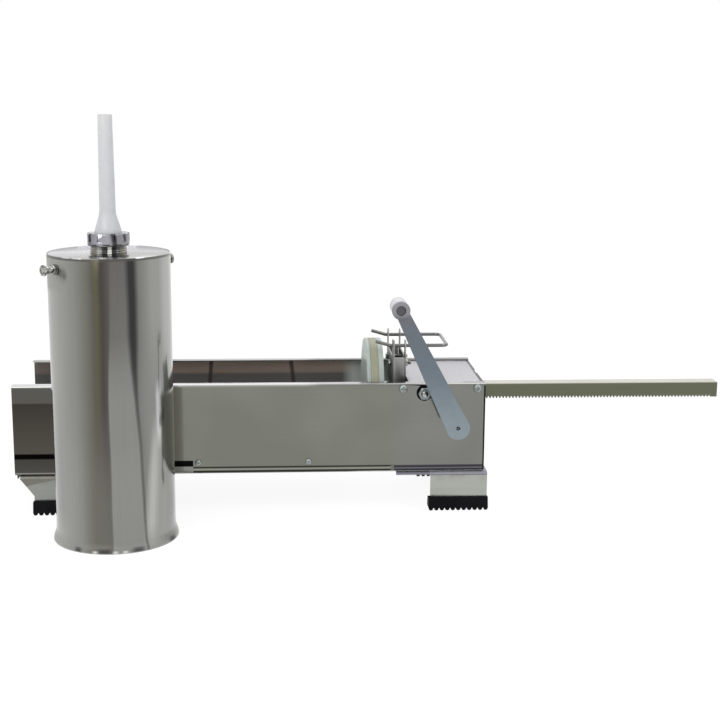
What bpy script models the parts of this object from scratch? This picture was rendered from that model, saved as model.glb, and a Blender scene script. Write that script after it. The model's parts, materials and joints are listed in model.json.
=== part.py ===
"""Horizontal rack-and-pinion sausage stuffer, laid out as it stands on the bench.

A folded steel trough carries a gearbox at its rear end. A crank turns a pinion under a toothed
rack, and the rack pushes a piston along the trough. The meat cylinder has been lifted out and
stands on its flared open end beside the trough, with its funnel held on top by a ring nut.
A sliding wire latch over the gearbox locks the cylinder's flare when it lies in the trough.

Units are metres and +Z is up. Inside the bench empty, X runs along the trough from its open front
end, Y runs away from the near wall's outer face, and Z starts at the table.
"""
import math

import bmesh
import bpy
from mathutils import Vector

# Fits and cutting
FIT_GAP = 0.0003
SLIDE_GAP = 0.0004
CUT_OVERRUN = 0.003
MERGE_DISTANCE = 0.00001
SMOOTH_ANGLE = math.radians(32)
FLAT_ANGLE = math.radians(0.05)

# Folded trough
TROUGH_WIDTH = 0.1666
TROUGH_DEPTH = 0.1142
TROUGH_SHEET = 0.0015
FLOOR_BEND = 0.005
FLANGE_BEND = 0.0026
FLANGE_WIDTH = 0.012
FRONT_LIP_DROP = 0.0045
FRONT_LIP_SETBACK = 0.0019

# Legs, feet and the rivets that hold the legs
LEG_HEIGHT = 0.050
LEG_SHEET = 0.002
LEG_LENGTH = 0.0726
LEG_BEND = 0.0035
LEG_EDGE_HEIGHT = 0.008
FRONT_LEG_TOE = 0.0058
FRONT_LEG_START = 0.0224
FRONT_LEG_SLANT_HEIGHT = 0.0246
REAR_LEG_OVERHANG = 0.0046
REAR_LEG_TONGUE = 0.043
FOOT_HEIGHT = 0.018
FOOT_OVERLAP = 0.0025
FOOT_FLARE = 0.0009
FOOT_WIDTH = 0.018
FOOT_SKIN = 0.003
RIB_COUNT = 11
RIB_DEPTH = 0.003
RIB_ROOT_SHARE = 0.44
RIB_TIP_SHARE = 0.30
RIB_FLAT_SHARE = 0.17
RIVET_RADIUS = 0.0016
RIVET_HEAD_RADIUS = 0.0034
RIVET_HEAD_HEIGHT = 0.0013
RIVET_INSET = 0.018

# Meat cylinder, standing on its flared rim
CYLINDER_RADIUS = 0.070
CYLINDER_WALL = 0.001
CYLINDER_HEIGHT = 0.339
FLARE_RADIUS = 0.0735
FLARE_LENGTH = 0.025
CYLINDER_STAND_X = 0.1327
CYLINDER_STAND_GAP = 0.0055
END_PLATE_THICKNESS = 0.0015
END_PLATE_RECESS = 0.0007
PIN_DROP = 0.0145
PIN_AZIMUTH = math.radians(220)
PIN_COLLAR_RADIUS = 0.006
PIN_COLLAR_LENGTH = 0.005
PIN_NECK_RADIUS = 0.004
PIN_NECK_LENGTH = 0.0088
PIN_HEAD_RADIUS = 0.00625
PIN_HEAD_LENGTH = 0.0032
PIN_EDGE = 0.0009

# Outlet neck, ring nut and funnel on the cylinder's closed end
NECK_RADIUS = 0.021
NECK_BORE = 0.015
NECK_HEIGHT = 0.0155
GASKET_RADIUS = 0.0195
GASKET_THICKNESS = 0.002
NUT_RADIUS = 0.024
NUT_HEIGHT = 0.014
NUT_NECK_SHOW = 0.008
NUT_LIP = 0.003
NUT_EDGE = 0.0005
NUT_NOTCH_COUNT = 10
NUT_NOTCH_WIDTH = 0.006
NUT_NOTCH_DEPTH = 0.0014
NUT_NOTCH_HEIGHT = 0.009
FUNNEL_BASE_RADIUS = 0.0155
FUNNEL_SHOULDER_RADIUS = 0.00935
FUNNEL_TIP_RADIUS = 0.00815
FUNNEL_WALL = 0.0012
FUNNEL_CONE_HEIGHT = 0.024
FUNNEL_SPOUT_HEIGHT = 0.109
FUNNEL_FLANGE_RADIUS = 0.0195

# Where the cylinder lies when it is in the trough
SEAT_X = 0.1087
DRIVE_HEIGHT = 0.138
PIN_SLOT_CLEARANCE = 0.0006
COLLAR_CLEARANCE = 0.001
CRADLE_FRONT_X = 0.226
CRADLE_REAR_X = 0.3635
CRADLE_SHEET = 0.002
CRADLE_HEIGHT = 0.036
CRADLE_FLANGE = 0.0125
CRADLE_BEND = 0.003
CRADLE_SCREW_HEIGHT = 0.0654

# Piston on the rack's front end
PISTON_RADIUS = 0.0684
SEAL_RADIUS = 0.0688
PISTON_HUB_RADIUS = 0.045
PISTON_RIM_GAP = 0.0047
PISTON_FRONT_THICKNESS = 0.005
PISTON_SEAL_THICKNESS = 0.0094
PISTON_REAR_THICKNESS = 0.0067
PISTON_EDGE = 0.0015
PISTON_BOLT_RADIUS = 0.005
PISTON_BOLT_LENGTH = 0.045
PISTON_BOLT_HEAD_RADIUS = 0.0095
PISTON_BOLT_HEAD_HEIGHT = 0.0035

# Rack and pinion
RACK_SECTION = 0.020
RACK_EDGE = 0.0006
TOOTH_MODULE = 0.001375
PRESSURE_ANGLE = math.radians(20)
RACK_ADDENDUM_SHARE = 0.85
PINION_ADDENDUM_SHARE = 1.0
DEDENDUM_SHARE = 1.25
TOOTH_BACKLASH = 0.0003
PINION_TEETH = 15
PINION_FACE = 0.024
PINION_HUB_LENGTH = 0.012
PINION_HUB_STEP = 0.0003
RACK_TEETH_AHEAD = 8
RACK_STROKE = 0.335
RACK_TAIL = 0.025
RACK_PLAIN_END = 0.0075

# Crank
CRANK_SETBACK = 0.0578
CRANK_THROW = 0.162
CRANK_LEAN = math.radians(26.2)
SHAFT_RADIUS = 0.006
SHAFT_FAR_END = 0.0075
SHAFT_CENTRE_HOLE = 0.0012
BUSH_WALL = 0.003
BUSH_LENGTH = 0.011
BUSH_FLANGE = 0.003
BUSH_FLANGE_THICKNESS = 0.002
CIRCLIP_THICKNESS = 0.0012
CIRCLIP_RIM = 0.003
CIRCLIP_MOUTH = 0.007
CIRCLIP_GROOVE_DEPTH = 0.0008
COLLAR_RADIUS = 0.0125
COLLAR_LENGTH = 0.008
ARM_STAND_OFF = 0.045
ARM_THICKNESS = 0.005
ARM_SHAFT_HALF_WIDTH = 0.0145
ARM_TIP_HALF_WIDTH = 0.00775
ARM_HOLE_RADIUS = 0.0025
ARM_EDGE = 0.0005
BOSS_RADIUS = 0.011
BOSS_RISE = 0.0015
HUB_RADIUS = 0.0115
HUB_LENGTH = 0.026
CROSS_PIN_RADIUS = 0.0015
SPINDLE_SHOULDER_RADIUS = 0.0055
SPINDLE_RECESS = 0.0008
SPINDLE_RADIUS = 0.004
SPINDLE_HEAD_RADIUS = 0.0065
SPINDLE_HEAD_HEIGHT = 0.002
GRIP_RADIUS = 0.0100
GRIP_RIM_RADIUS = 0.0105
GRIP_RIM_LENGTH = 0.0025
GRIP_LENGTH = 0.0374
GRIP_EDGE = 0.001

# Gearbox plates and lid, set back from the front plate's face
GEARBOX_LENGTH = 0.0983
GEARBOX_SHEET = 0.0015
GEARBOX_SHOULDER_HEIGHT = 0.150
REAR_SLOT_WIDTH = 0.024
REAR_SLOT_FLOOR_GAP = 0.0025
LID_SKIRT = 0.0125
LID_BEND = 0.0025
LID_FRONT_GAP = 0.0018
LID_TAB_LENGTH = 0.015
HOLD_DOWN_SETBACK = 0.0213
HOLD_DOWN_RADIUS = 0.004
HOLD_DOWN_END = 0.010
HOLD_DOWN_HEAD_HEIGHT = 0.0053
HOLD_DOWN_NUT_HEIGHT = 0.0065
HOLD_DOWN_NUT_RADIUS = 0.0075

# Side screws
SCREW_RADIUS = 0.002
SCREW_LENGTH = 0.008
CRADLE_SCREW_HEAD_RADIUS = 0.004
LID_SCREW_HEAD_RADIUS = 0.0047
SCREW_HEAD_HEIGHT = 0.0026
LID_SCREW_LEAD = 0.0053
LID_SCREW_REAR_INSET = 0.0103
LID_SCREW_DROP = 0.0068

# Wire latch and the bracket that guides it
BRACKET_GAP = 0.0116
BRACKET_DEPTH = 0.0155
BRACKET_WIDTH = 0.090
BRACKET_BEND = 0.0025
BRACKET_FOOT_GAP = 0.0025
BRACKET_TOP = 0.190
EAR_TOP = 0.212
EAR_WIDTH = 0.012
EAR_CORNER = 0.003
LATCH_WIRE_RADIUS = 0.00225
LATCH_SPACING = 0.079
LATCH_HEIGHT = 0.2045
LATCH_TAIL_SETBACK = 0.0543
LATCH_BEND = 0.007
LATCH_NOSE_LEAD = 0.0212
LATCH_NOSE_RISE = 0.0055
LATCH_NOSE_BEND_GAP = 0.002
LATCH_BOLT_RADIUS = 0.0025
LATCH_BOLT_SPACING = 0.046
LATCH_BOLT_HEIGHT = 0.179
LATCH_BOLT_HEAD_RADIUS = 0.0042
LATCH_BOLT_HEAD_HEIGHT = 0.003
LATCH_BOLT_END = 0.0085
LATCH_NUT_RADIUS = 0.0046
LATCH_NUT_HEIGHT = 0.004

# Facet counts
LARGE_STEPS = 48
DISC_STEPS = 36
OUTLET_STEPS = 28
MEDIUM_STEPS = 20
SMALL_STEPS = 12
TINY_STEPS = 8
BEND_STEPS = 3
FLARE_STEPS = 3
FLANK_STEPS = 2
END_ARC_STEPS = 9
HEX_SIDES = 6

# Places that follow from the sizes above
TROUGH_BASE = LEG_HEIGHT + FIT_GAP
TROUGH_TOP = TROUGH_BASE + TROUGH_DEPTH
TROUGH_FLOOR = TROUGH_BASE + TROUGH_SHEET
MIDDLE_Y = TROUGH_WIDTH / 2
INNER_NEAR_Y = TROUGH_SHEET + FIT_GAP
INNER_FAR_Y = TROUGH_WIDTH - INNER_NEAR_Y

CYLINDER_STAND_Y = -(FLARE_RADIUS + CYLINDER_STAND_GAP)
CYLINDER_BORE = CYLINDER_RADIUS - CYLINDER_WALL

PISTON_FRONT_X = SEAT_X - PIN_DROP + CYLINDER_HEIGHT + PISTON_RIM_GAP
SEAL_FRONT_X = PISTON_FRONT_X + PISTON_FRONT_THICKNESS + FIT_GAP
REAR_DISC_FRONT_X = SEAL_FRONT_X + PISTON_SEAL_THICKNESS + FIT_GAP
PISTON_REAR_X = REAR_DISC_FRONT_X + PISTON_REAR_THICKNESS
RACK_FRONT_X = PISTON_REAR_X + FIT_GAP
BRACKET_FRONT_X = PISTON_REAR_X + BRACKET_GAP
FRONT_PLATE_X = BRACKET_FRONT_X + BRACKET_DEPTH
TROUGH_LENGTH = FRONT_PLATE_X + GEARBOX_LENGTH
CRANK_X = FRONT_PLATE_X + CRANK_SETBACK
HOLD_DOWN_X = FRONT_PLATE_X + HOLD_DOWN_SETBACK
LID_SCREW_FRONT_X = FRONT_PLATE_X - LID_SCREW_LEAD
LID_SCREW_REAR_X = TROUGH_LENGTH - LID_SCREW_REAR_INSET
LATCH_TAIL_X = FRONT_PLATE_X + LATCH_TAIL_SETBACK
LATCH_NOSE_X = BRACKET_FRONT_X - LATCH_NOSE_LEAD
RACK_REAR_X = CRANK_X + RACK_STROKE + RACK_TAIL
RACK_TOP = DRIVE_HEIGHT + RACK_SECTION / 2
RACK_TIP_LINE = DRIVE_HEIGHT - RACK_SECTION / 2
RACK_PITCH_LINE = RACK_TIP_LINE + RACK_ADDENDUM_SHARE * TOOTH_MODULE

TOOTH_PITCH = math.pi * TOOTH_MODULE
PITCH_RADIUS = PINION_TEETH * TOOTH_MODULE / 2
CRANK_HEIGHT = RACK_PITCH_LINE - PITCH_RADIUS
BUSH_RADIUS = SHAFT_RADIUS + SLIDE_GAP + BUSH_WALL
ARM_INNER_Y = -ARM_STAND_OFF
ARM_OUTER_Y = ARM_INNER_Y - ARM_THICKNESS
BOSS_FACE_Y = ARM_OUTER_Y - BOSS_RISE
GRIP_START_Y = ARM_INNER_Y + FIT_GAP
GRIP_END_Y = GRIP_START_Y + GRIP_LENGTH
GRIP_X = -CRANK_THROW * math.sin(CRANK_LEAN)
GRIP_Z = CRANK_THROW * math.cos(CRANK_LEAN)

LID_FRONT_X = FRONT_PLATE_X + GEARBOX_SHEET + LID_FRONT_GAP
REAR_PLATE_X = TROUGH_LENGTH - GEARBOX_SHEET
LID_TOP = TROUGH_TOP - TROUGH_SHEET - FIT_GAP
HOLD_DOWN_HEIGHT = RACK_TOP + FIT_GAP + HOLD_DOWN_RADIUS
LID_SCREW_HEIGHT = TROUGH_TOP - LID_SCREW_DROP

REACH_NEAR_Y = CYLINDER_STAND_Y - FLARE_RADIUS
REACH_FAR_Y = TROUGH_WIDTH + SHAFT_FAR_END
CENTRE_X = RACK_REAR_X / 2
CENTRE_Y = (REACH_NEAR_Y + REACH_FAR_Y) / 2

# Turns that lay a piece's own axis or plane along one of the bench's axes
AXIS_TURNS = {
    "X": (0, math.pi / 2, 0),
    "Y": (-math.pi / 2, 0, 0),
    "Z": (0, 0, 0),
}
PLATE_TURNS = {
    "X": (math.pi / 2, 0, math.pi / 2),
    "Y": (math.pi / 2, 0, 0),
    "Z": (0, 0, 0),
}


def clear_scene():
    """Remove whatever the file opened with."""
    for obj in list(bpy.data.objects):
        bpy.data.objects.remove(obj, do_unlink=True)
    for collection in list(bpy.data.collections):
        bpy.data.collections.remove(collection)


def make_collection(name):
    collection = bpy.data.collections.new(name)
    bpy.context.scene.collection.children.link(collection)
    return collection


clear_scene()
PARTS = make_collection("sausage_stuffer")
CUTTERS = make_collection("cutters")


def make_material(name, colour, roughness, metallic):
    """A plain finish with the piece's colour in the photograph."""
    material = bpy.data.materials.new(name)
    material.use_nodes = True
    shader = material.node_tree.nodes["Principled BSDF"]
    shader.inputs["Base Color"].default_value = (*colour, 1)
    shader.inputs["Roughness"].default_value = roughness
    shader.inputs["Metallic"].default_value = metallic
    return material


FINISHES = {
    "polished_steel": ((0.60, 0.60, 0.58), 0.12, 1),
    "satin_steel": ((0.52, 0.53, 0.51), 0.38, 1),
    "zinc_steel": ((0.42, 0.47, 0.52), 0.42, 1),
    "olive_steel": ((0.30, 0.30, 0.22), 0.45, 1),
    "chrome": ((0.75, 0.75, 0.74), 0.08, 1),
    "bronze": ((0.55, 0.42, 0.22), 0.40, 1),
    "rubber": ((0.02, 0.02, 0.02), 0.80, 0),
    "nylon": ((0.78, 0.82, 0.78), 0.45, 0),
    "silicone": ((0.72, 0.70, 0.52), 0.50, 0),
    "white_plastic": ((0.86, 0.86, 0.88), 0.40, 0),
}


def rounded_path(corners, radii, steps=BEND_STEPS):
    """An open path through corners, each inner corner turned by an arc of its radius."""
    points = [Vector(corners[0])]
    for index in range(1, len(corners) - 1):
        corner = Vector(corners[index])
        back = (Vector(corners[index - 1]) - corner).normalized()
        ahead = (Vector(corners[index + 1]) - corner).normalized()
        radius = radii[index - 1]
        half = back.angle(ahead) / 2
        start = corner + back * (radius / math.tan(half))
        centre = corner + (back + ahead).normalized() * (radius / math.sin(half))
        arm = start - centre
        sweep = math.pi - 2 * half
        cross = back.x * ahead.y - back.y * ahead.x
        turn = -math.copysign(sweep, cross)
        for step in range(steps + 1):
            angle = turn * step / steps
            cosine = math.cos(angle)
            sine = math.sin(angle)
            spoke = Vector((arm.x * cosine - arm.y * sine, arm.x * sine + arm.y * cosine))
            points.append(centre + spoke)
    points.append(Vector(corners[-1]))
    return points


def arc_points(centre, radius, start, end, steps):
    """Points on an arc, both ends included, angles in radians from the first axis."""
    return [
        (
            centre[0] + radius * math.cos(start + (end - start) * step / steps),
            centre[1] + radius * math.sin(start + (end - start) * step / steps),
        )
        for step in range(steps + 1)
    ]


def circle_points(centre, radius, steps):
    return arc_points(centre, radius, 0, 2 * math.pi * (steps - 1) / steps, steps - 1)


def box_outline(low, high):
    return [(low[0], low[1]), (high[0], low[1]), (high[0], high[1]), (low[0], high[1])]


def rounded_outline(corners, radii, steps=BEND_STEPS):
    """A closed outline with an arc at each corner, sharp where the radius is zero."""
    points = []
    count = len(corners)
    for index, corner in enumerate(corners):
        if radii[index] == 0:
            points.append(Vector(corner))
            continue
        neighbours = [corners[index - 1], corner, corners[(index + 1) % count]]
        points.extend(rounded_path(neighbours, [radii[index]], steps)[1:-1])
    return points


def link_object(name, mesh, parent, location, rotation, finish=None):
    obj = bpy.data.objects.new(name, mesh)
    obj.location = location
    obj.rotation_euler = rotation
    obj.parent = parent
    if finish is None:
        CUTTERS.objects.link(obj)
        obj.hide_render = True
        obj.display_type = "WIRE"
    else:
        PARTS.objects.link(obj)
        mesh.materials.append(make_material(name + "_finish", *FINISHES[finish]))
    return obj


def make_empty(name, parent, location):
    empty = bpy.data.objects.new(name, None)
    empty.location = location
    empty.parent = parent
    PARTS.objects.link(empty)
    return empty


def weld(mesh):
    shape = bmesh.new()
    shape.from_mesh(mesh)
    bmesh.ops.remove_doubles(shape, verts=shape.verts, dist=MERGE_DISTANCE)
    shape.to_mesh(mesh)
    shape.free()


def merge_flat_faces(mesh):
    """Merge the small triangles of a filled outline back into whole flat faces."""
    shape = bmesh.new()
    shape.from_mesh(mesh)
    bmesh.ops.dissolve_limit(
        shape, angle_limit=FLAT_ANGLE, verts=shape.verts, edges=shape.edges
    )
    shape.to_mesh(mesh)
    shape.free()


def mesh_from(obj, name):
    """The evaluated shape of a curve or a modified object as a mesh of its own."""
    bpy.context.view_layer.update()
    graph = bpy.context.evaluated_depsgraph_get()
    mesh = bpy.data.meshes.new_from_object(obj.evaluated_get(graph), depsgraph=graph)
    mesh.name = name
    weld(mesh)
    return mesh


def plate_mesh(name, outline, holes, thickness):
    """A flat outline with holes, filled and given its thickness both ways."""
    curve = bpy.data.curves.new(name + "_outline", "CURVE")
    curve.dimensions = "2D"
    curve.fill_mode = "BOTH"
    curve.extrude = thickness / 2
    for loop in [outline, *holes]:
        spline = curve.splines.new("POLY")
        spline.points.add(len(loop) - 1)
        for point, (across, up) in zip(spline.points, loop):
            point.co = (across, up, 0, 1)
        spline.use_cyclic_u = True
    guide = bpy.data.objects.new(name + "_outline", curve)
    CUTTERS.objects.link(guide)
    mesh = mesh_from(guide, name)
    bpy.data.objects.remove(guide)
    bpy.data.curves.remove(curve)
    mesh.materials.clear()
    merge_flat_faces(mesh)
    return mesh


def plate(name, parent, outline, holes, thickness, facing, place, finish=None):
    """A plate whose outline lies in the plane that faces X, Y or Z, with its middle at place."""
    mesh = plate_mesh(name, outline, holes, thickness)
    offset = {"X": (place, 0, 0), "Y": (0, place, 0), "Z": (0, 0, place)}[facing]
    return link_object(name, mesh, parent, offset, PLATE_TURNS[facing], finish)


def turned(name, parent, profile, axis, centre, steps, finish=None, closed=True):
    """Spin a (radius, height) profile about one of the bench's axes through centre."""
    mesh = bpy.data.meshes.new(name + "_profile")
    vertices = [(radius, 0, height) for radius, height in profile]
    count = len(vertices)
    edges = [(index, (index + 1) % count) for index in range(count if closed else count - 1)]
    mesh.from_pydata(vertices, edges, [])
    guide = bpy.data.objects.new(name + "_profile", mesh)
    CUTTERS.objects.link(guide)
    spin = guide.modifiers.new("spin", "SCREW")
    spin.steps = steps
    spin.render_steps = steps
    spin.use_merge_vertices = True
    spin.merge_threshold = MERGE_DISTANCE
    result = mesh_from(guide, name)
    bpy.data.objects.remove(guide)
    bpy.data.meshes.remove(mesh)
    return link_object(name, result, parent, centre, AXIS_TURNS[axis], finish)


def solid_profile(radius, low, high, edge=0):
    """Half the outline of a solid disc, chamfered where edge is not zero."""
    if edge == 0:
        return [(0, high), (radius, high), (radius, low), (0, low)]
    return [
        (0, high),
        (radius - edge, high),
        (radius, high - edge),
        (radius, low + edge),
        (radius - edge, low),
        (0, low),
    ]


def ring_profile(outer, inner, low, high):
    return [(outer, high), (outer, low), (inner, low), (inner, high)]


def disc(name, parent, radius, low, high, axis, centre, steps, finish=None, edge=0):
    profile = solid_profile(radius, low, high, edge)
    return turned(name, parent, profile, axis, centre, steps, finish, closed=False)


def ring(name, parent, outer, inner, low, high, axis, centre, steps, finish=None):
    profile = ring_profile(outer, inner, low, high)
    return turned(name, parent, profile, axis, centre, steps, finish)


def block(name, parent, low, high, finish=None):
    """A box between two corners."""
    shape = bmesh.new()
    bmesh.ops.create_cube(shape, size=1)
    size = [high[axis] - low[axis] for axis in range(3)]
    bmesh.ops.scale(shape, vec=size, verts=shape.verts)
    mesh = bpy.data.meshes.new(name)
    shape.to_mesh(mesh)
    shape.free()
    middle = [(high[axis] + low[axis]) / 2 for axis in range(3)]
    return link_object(name, mesh, parent, middle, (0, 0, 0), finish)


def folded_sheet(name, parent, path, start, end, thickness, along, finish):
    """A bent sheet: a path in the plane across the fold line, swept and thickened inwards.

    Along X the path is (Y, Z); along Z it is (X, Y). It runs so that the sheet grows to its left.
    """
    mesh = bpy.data.meshes.new(name)
    vertices = []
    for place in (start, end):
        for across, up in path:
            vertices.append((place, across, up) if along == "X" else (across, up, place))
    count = len(path)
    faces = [(index, index + 1, count + index + 1, count + index) for index in range(count - 1)]
    mesh.from_pydata(vertices, [], faces)
    obj = link_object(name, mesh, parent, (0, 0, 0), (0, 0, 0), finish)
    wall = obj.modifiers.new("wall", "SOLIDIFY")
    wall.thickness = thickness
    wall.offset = -1
    wall.use_even_offset = True
    return obj


def combine(obj, other, operation, solver="EXACT"):
    change = obj.modifiers.new(other.name, "BOOLEAN")
    change.operation = operation
    change.object = other
    change.solver = solver


def cut(obj, cutter):
    combine(obj, cutter, "DIFFERENCE")


def cut_closed(obj, cutter):
    """Cut where the exact solver would leave an edge open, such as across many ribs in line."""
    combine(obj, cutter, "DIFFERENCE", "MANIFOLD")


def join(obj, other):
    combine(obj, other, "UNION")


def finish_parts():
    """Turn each piece's modifiers into its mesh, and shade the round ones smooth."""
    baked = {}
    for obj in PARTS.objects:
        if obj.type == "MESH" and obj.modifiers:
            baked[obj] = mesh_from(obj, obj.name)
    for obj, mesh in baked.items():
        obj.modifiers.clear()
        obj.data = mesh
    for obj in PARTS.objects:
        if obj.type == "MESH":
            obj.data.shade_smooth()
            obj.data.set_sharp_from_angle(angle=SMOOTH_ANGLE)


def side_screw_places():
    """X, height, head radius and kind of every screw in the trough's walls."""
    return [
        (CRADLE_FRONT_X, CRADLE_SCREW_HEIGHT, CRADLE_SCREW_HEAD_RADIUS, "cradle"),
        (CRADLE_REAR_X, CRADLE_SCREW_HEIGHT, CRADLE_SCREW_HEAD_RADIUS, "cradle"),
        (LID_SCREW_FRONT_X, LID_SCREW_HEIGHT, LID_SCREW_HEAD_RADIUS, "lid"),
        (LID_SCREW_REAR_X, LID_SCREW_HEIGHT, LID_SCREW_HEAD_RADIUS, "lid"),
    ]


def cross_cutter(name, parent, radius, x, height, steps):
    """A round cutter along Y through the whole width of the frame."""
    low = -CUT_OVERRUN
    high = TROUGH_WIDTH + CUT_OVERRUN
    return disc(name, parent, radius, low, high, "Y", (x, 0, height), steps)


def leg_spans():
    """Where each leg's upright sides start and end along the trough."""
    rear_end = TROUGH_LENGTH + REAR_LEG_OVERHANG
    return {
        "front": (FRONT_LEG_START, FRONT_LEG_START + LEG_LENGTH),
        "rear": (rear_end - LEG_LENGTH, rear_end),
    }


def rivet_places():
    """Name ending, X and Y of each rivet through the trough's floor and a leg."""
    places = []
    for end_name, (start, end) in leg_spans().items():
        middle = (start + end) / 2
        places.append((f"{end_name}_near", middle, RIVET_INSET))
        places.append((f"{end_name}_far", middle, TROUGH_WIDTH - RIVET_INSET))
    return places


def build_trough(bench):
    outer = [
        (FLANGE_WIDTH, TROUGH_TOP),
        (0, TROUGH_TOP),
        (0, TROUGH_BASE),
        (TROUGH_WIDTH, TROUGH_BASE),
        (TROUGH_WIDTH, TROUGH_TOP),
        (TROUGH_WIDTH - FLANGE_WIDTH, TROUGH_TOP),
    ]
    path = rounded_path(outer, [FLANGE_BEND, FLOOR_BEND, FLOOR_BEND, FLANGE_BEND])
    trough = folded_sheet(
        "trough", bench, path, 0, TROUGH_LENGTH, TROUGH_SHEET, "X", "polished_steel"
    )
    lip = block(
        "front_lip",
        bench,
        (FRONT_LIP_SETBACK, FLOOR_BEND, TROUGH_BASE - FRONT_LIP_DROP),
        (
            FRONT_LIP_SETBACK + TROUGH_SHEET,
            TROUGH_WIDTH - FLOOR_BEND,
            TROUGH_BASE + TROUGH_SHEET / 2,
        ),
    )
    join(trough, lip)

    slot_radius = PIN_NECK_RADIUS + PIN_SLOT_CLEARANCE
    cut(trough, cross_cutter("slot_round", bench, slot_radius, SEAT_X, DRIVE_HEIGHT, SMALL_STEPS))
    slot = block(
        "slot_throat",
        bench,
        (SEAT_X - slot_radius, -CUT_OVERRUN, DRIVE_HEIGHT),
        (SEAT_X + slot_radius, TROUGH_WIDTH + CUT_OVERRUN, TROUGH_TOP + CUT_OVERRUN),
    )
    cut(trough, slot)
    notch_half = PIN_COLLAR_RADIUS + COLLAR_CLEARANCE
    notch = block(
        "slot_mouth",
        bench,
        (SEAT_X - notch_half, -CUT_OVERRUN, TROUGH_TOP - FLANGE_BEND),
        (SEAT_X + notch_half, TROUGH_WIDTH + CUT_OVERRUN, TROUGH_TOP + CUT_OVERRUN),
    )
    cut(trough, notch)

    for place, x, y in rivet_places():
        cutter = disc(
            f"floor_hole_{place}",
            bench,
            RIVET_RADIUS + FIT_GAP,
            TROUGH_BASE - CUT_OVERRUN,
            TROUGH_FLOOR + CUT_OVERRUN,
            "Z",
            (x, y, 0),
            TINY_STEPS,
        )
        cut(trough, cutter)
    for index, (x, height, _, _) in enumerate(side_screw_places()):
        name = f"wall_hole_{index}"
        cut(trough, cross_cutter(name, bench, SCREW_RADIUS + FIT_GAP, x, height, TINY_STEPS))
    bolt_hole = HOLD_DOWN_RADIUS + FIT_GAP
    cutter = cross_cutter(
        "bolt_hole", bench, bolt_hole, HOLD_DOWN_X, HOLD_DOWN_HEIGHT, SMALL_STEPS
    )
    cut(trough, cutter)
    bush_hole = BUSH_RADIUS + FIT_GAP
    bush = cross_cutter("bush_hole", bench, bush_hole, CRANK_X, CRANK_HEIGHT, MEDIUM_STEPS)
    cut_closed(trough, bush)


def leg_sheet(name, bench, start, end):
    """An inverted channel across the trough's underside, its two sides hanging as legs."""
    sides = [
        (0, LEG_EDGE_HEIGHT),
        (0, LEG_HEIGHT),
        (TROUGH_WIDTH, LEG_HEIGHT),
        (TROUGH_WIDTH, LEG_EDGE_HEIGHT),
    ]
    path = rounded_path(sides, [LEG_BEND, LEG_BEND])
    path.reverse()
    return folded_sheet(name, bench, path, start, end, LEG_SHEET, "X", "satin_steel")


def build_legs(bench):
    front = leg_sheet("front_leg", bench, FRONT_LEG_TOE, FRONT_LEG_START + LEG_LENGTH)
    slant = [
        (FRONT_LEG_TOE - CUT_OVERRUN, LEG_HEIGHT - LEG_BEND),
        (FRONT_LEG_TOE, LEG_HEIGHT - LEG_BEND),
        (FRONT_LEG_START, FRONT_LEG_SLANT_HEIGHT),
        (FRONT_LEG_START, LEG_EDGE_HEIGHT - CUT_OVERRUN),
        (FRONT_LEG_TOE - CUT_OVERRUN, LEG_EDGE_HEIGHT - CUT_OVERRUN),
    ]
    width = TROUGH_WIDTH + 2 * CUT_OVERRUN
    cut(front, plate("front_leg_slant", bench, slant, [], width, "Y", MIDDLE_Y))

    rear_start, rear_end = leg_spans()["rear"]
    rear = leg_sheet("rear_leg", bench, rear_start - REAR_LEG_TONGUE, rear_end)
    tongue = block(
        "rear_leg_tongue",
        bench,
        (
            rear_start - REAR_LEG_TONGUE - CUT_OVERRUN,
            -CUT_OVERRUN,
            LEG_EDGE_HEIGHT - CUT_OVERRUN,
        ),
        (rear_start, TROUGH_WIDTH + CUT_OVERRUN, LEG_HEIGHT - LEG_BEND),
    )
    cut(rear, tongue)

    for place, x, y in rivet_places():
        leg = front if place.startswith("front") else rear
        cutter = disc(
            f"leg_hole_{place}",
            bench,
            RIVET_RADIUS + FIT_GAP,
            LEG_HEIGHT - LEG_SHEET - CUT_OVERRUN,
            LEG_HEIGHT + FIT_GAP / 2,
            "Z",
            (x, y, 0),
            TINY_STEPS,
        )
        cut(leg, cutter)


def foot_outline(start, end):
    """Side view of a ribbed rubber foot."""
    width = end - start
    pitch = width / RIB_COUNT
    outline = [(end - FOOT_FLARE, FOOT_HEIGHT), (start + FOOT_FLARE, FOOT_HEIGHT)]
    for index in range(RIB_COUNT):
        middle = start + pitch * (index + 1 / 2)
        outline += [
            (middle - pitch * RIB_ROOT_SHARE, RIB_DEPTH),
            (middle - pitch * RIB_TIP_SHARE, RIB_DEPTH / 4),
            (middle - pitch * RIB_FLAT_SHARE, 0),
            (middle + pitch * RIB_FLAT_SHARE, 0),
            (middle + pitch * RIB_TIP_SHARE, RIB_DEPTH / 4),
            (middle + pitch * RIB_ROOT_SHARE, RIB_DEPTH),
        ]
    return outline


def build_feet(bench):
    groove_half = LEG_SHEET / 2 + FIT_GAP
    for end_name, (start, end) in leg_spans().items():
        outline = foot_outline(start - FOOT_OVERLAP, end + FOOT_OVERLAP)
        for side_name, sign in (("near", 1), ("far", -1)):
            edge = LEG_SHEET / 2 if sign > 0 else TROUGH_WIDTH - LEG_SHEET / 2
            middle = edge + sign * (FOOT_WIDTH / 2 - FOOT_SKIN - LEG_SHEET / 2)
            name = f"rubber_foot_{end_name}_{side_name}"
            foot = plate(name, bench, outline, [], FOOT_WIDTH, "Y", middle, "rubber")
            groove = block(
                name + "_groove",
                bench,
                (start - FIT_GAP, edge - groove_half, LEG_EDGE_HEIGHT - FIT_GAP),
                (end + FIT_GAP, edge + groove_half, FOOT_HEIGHT + CUT_OVERRUN),
            )
            cut_closed(foot, groove)


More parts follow.
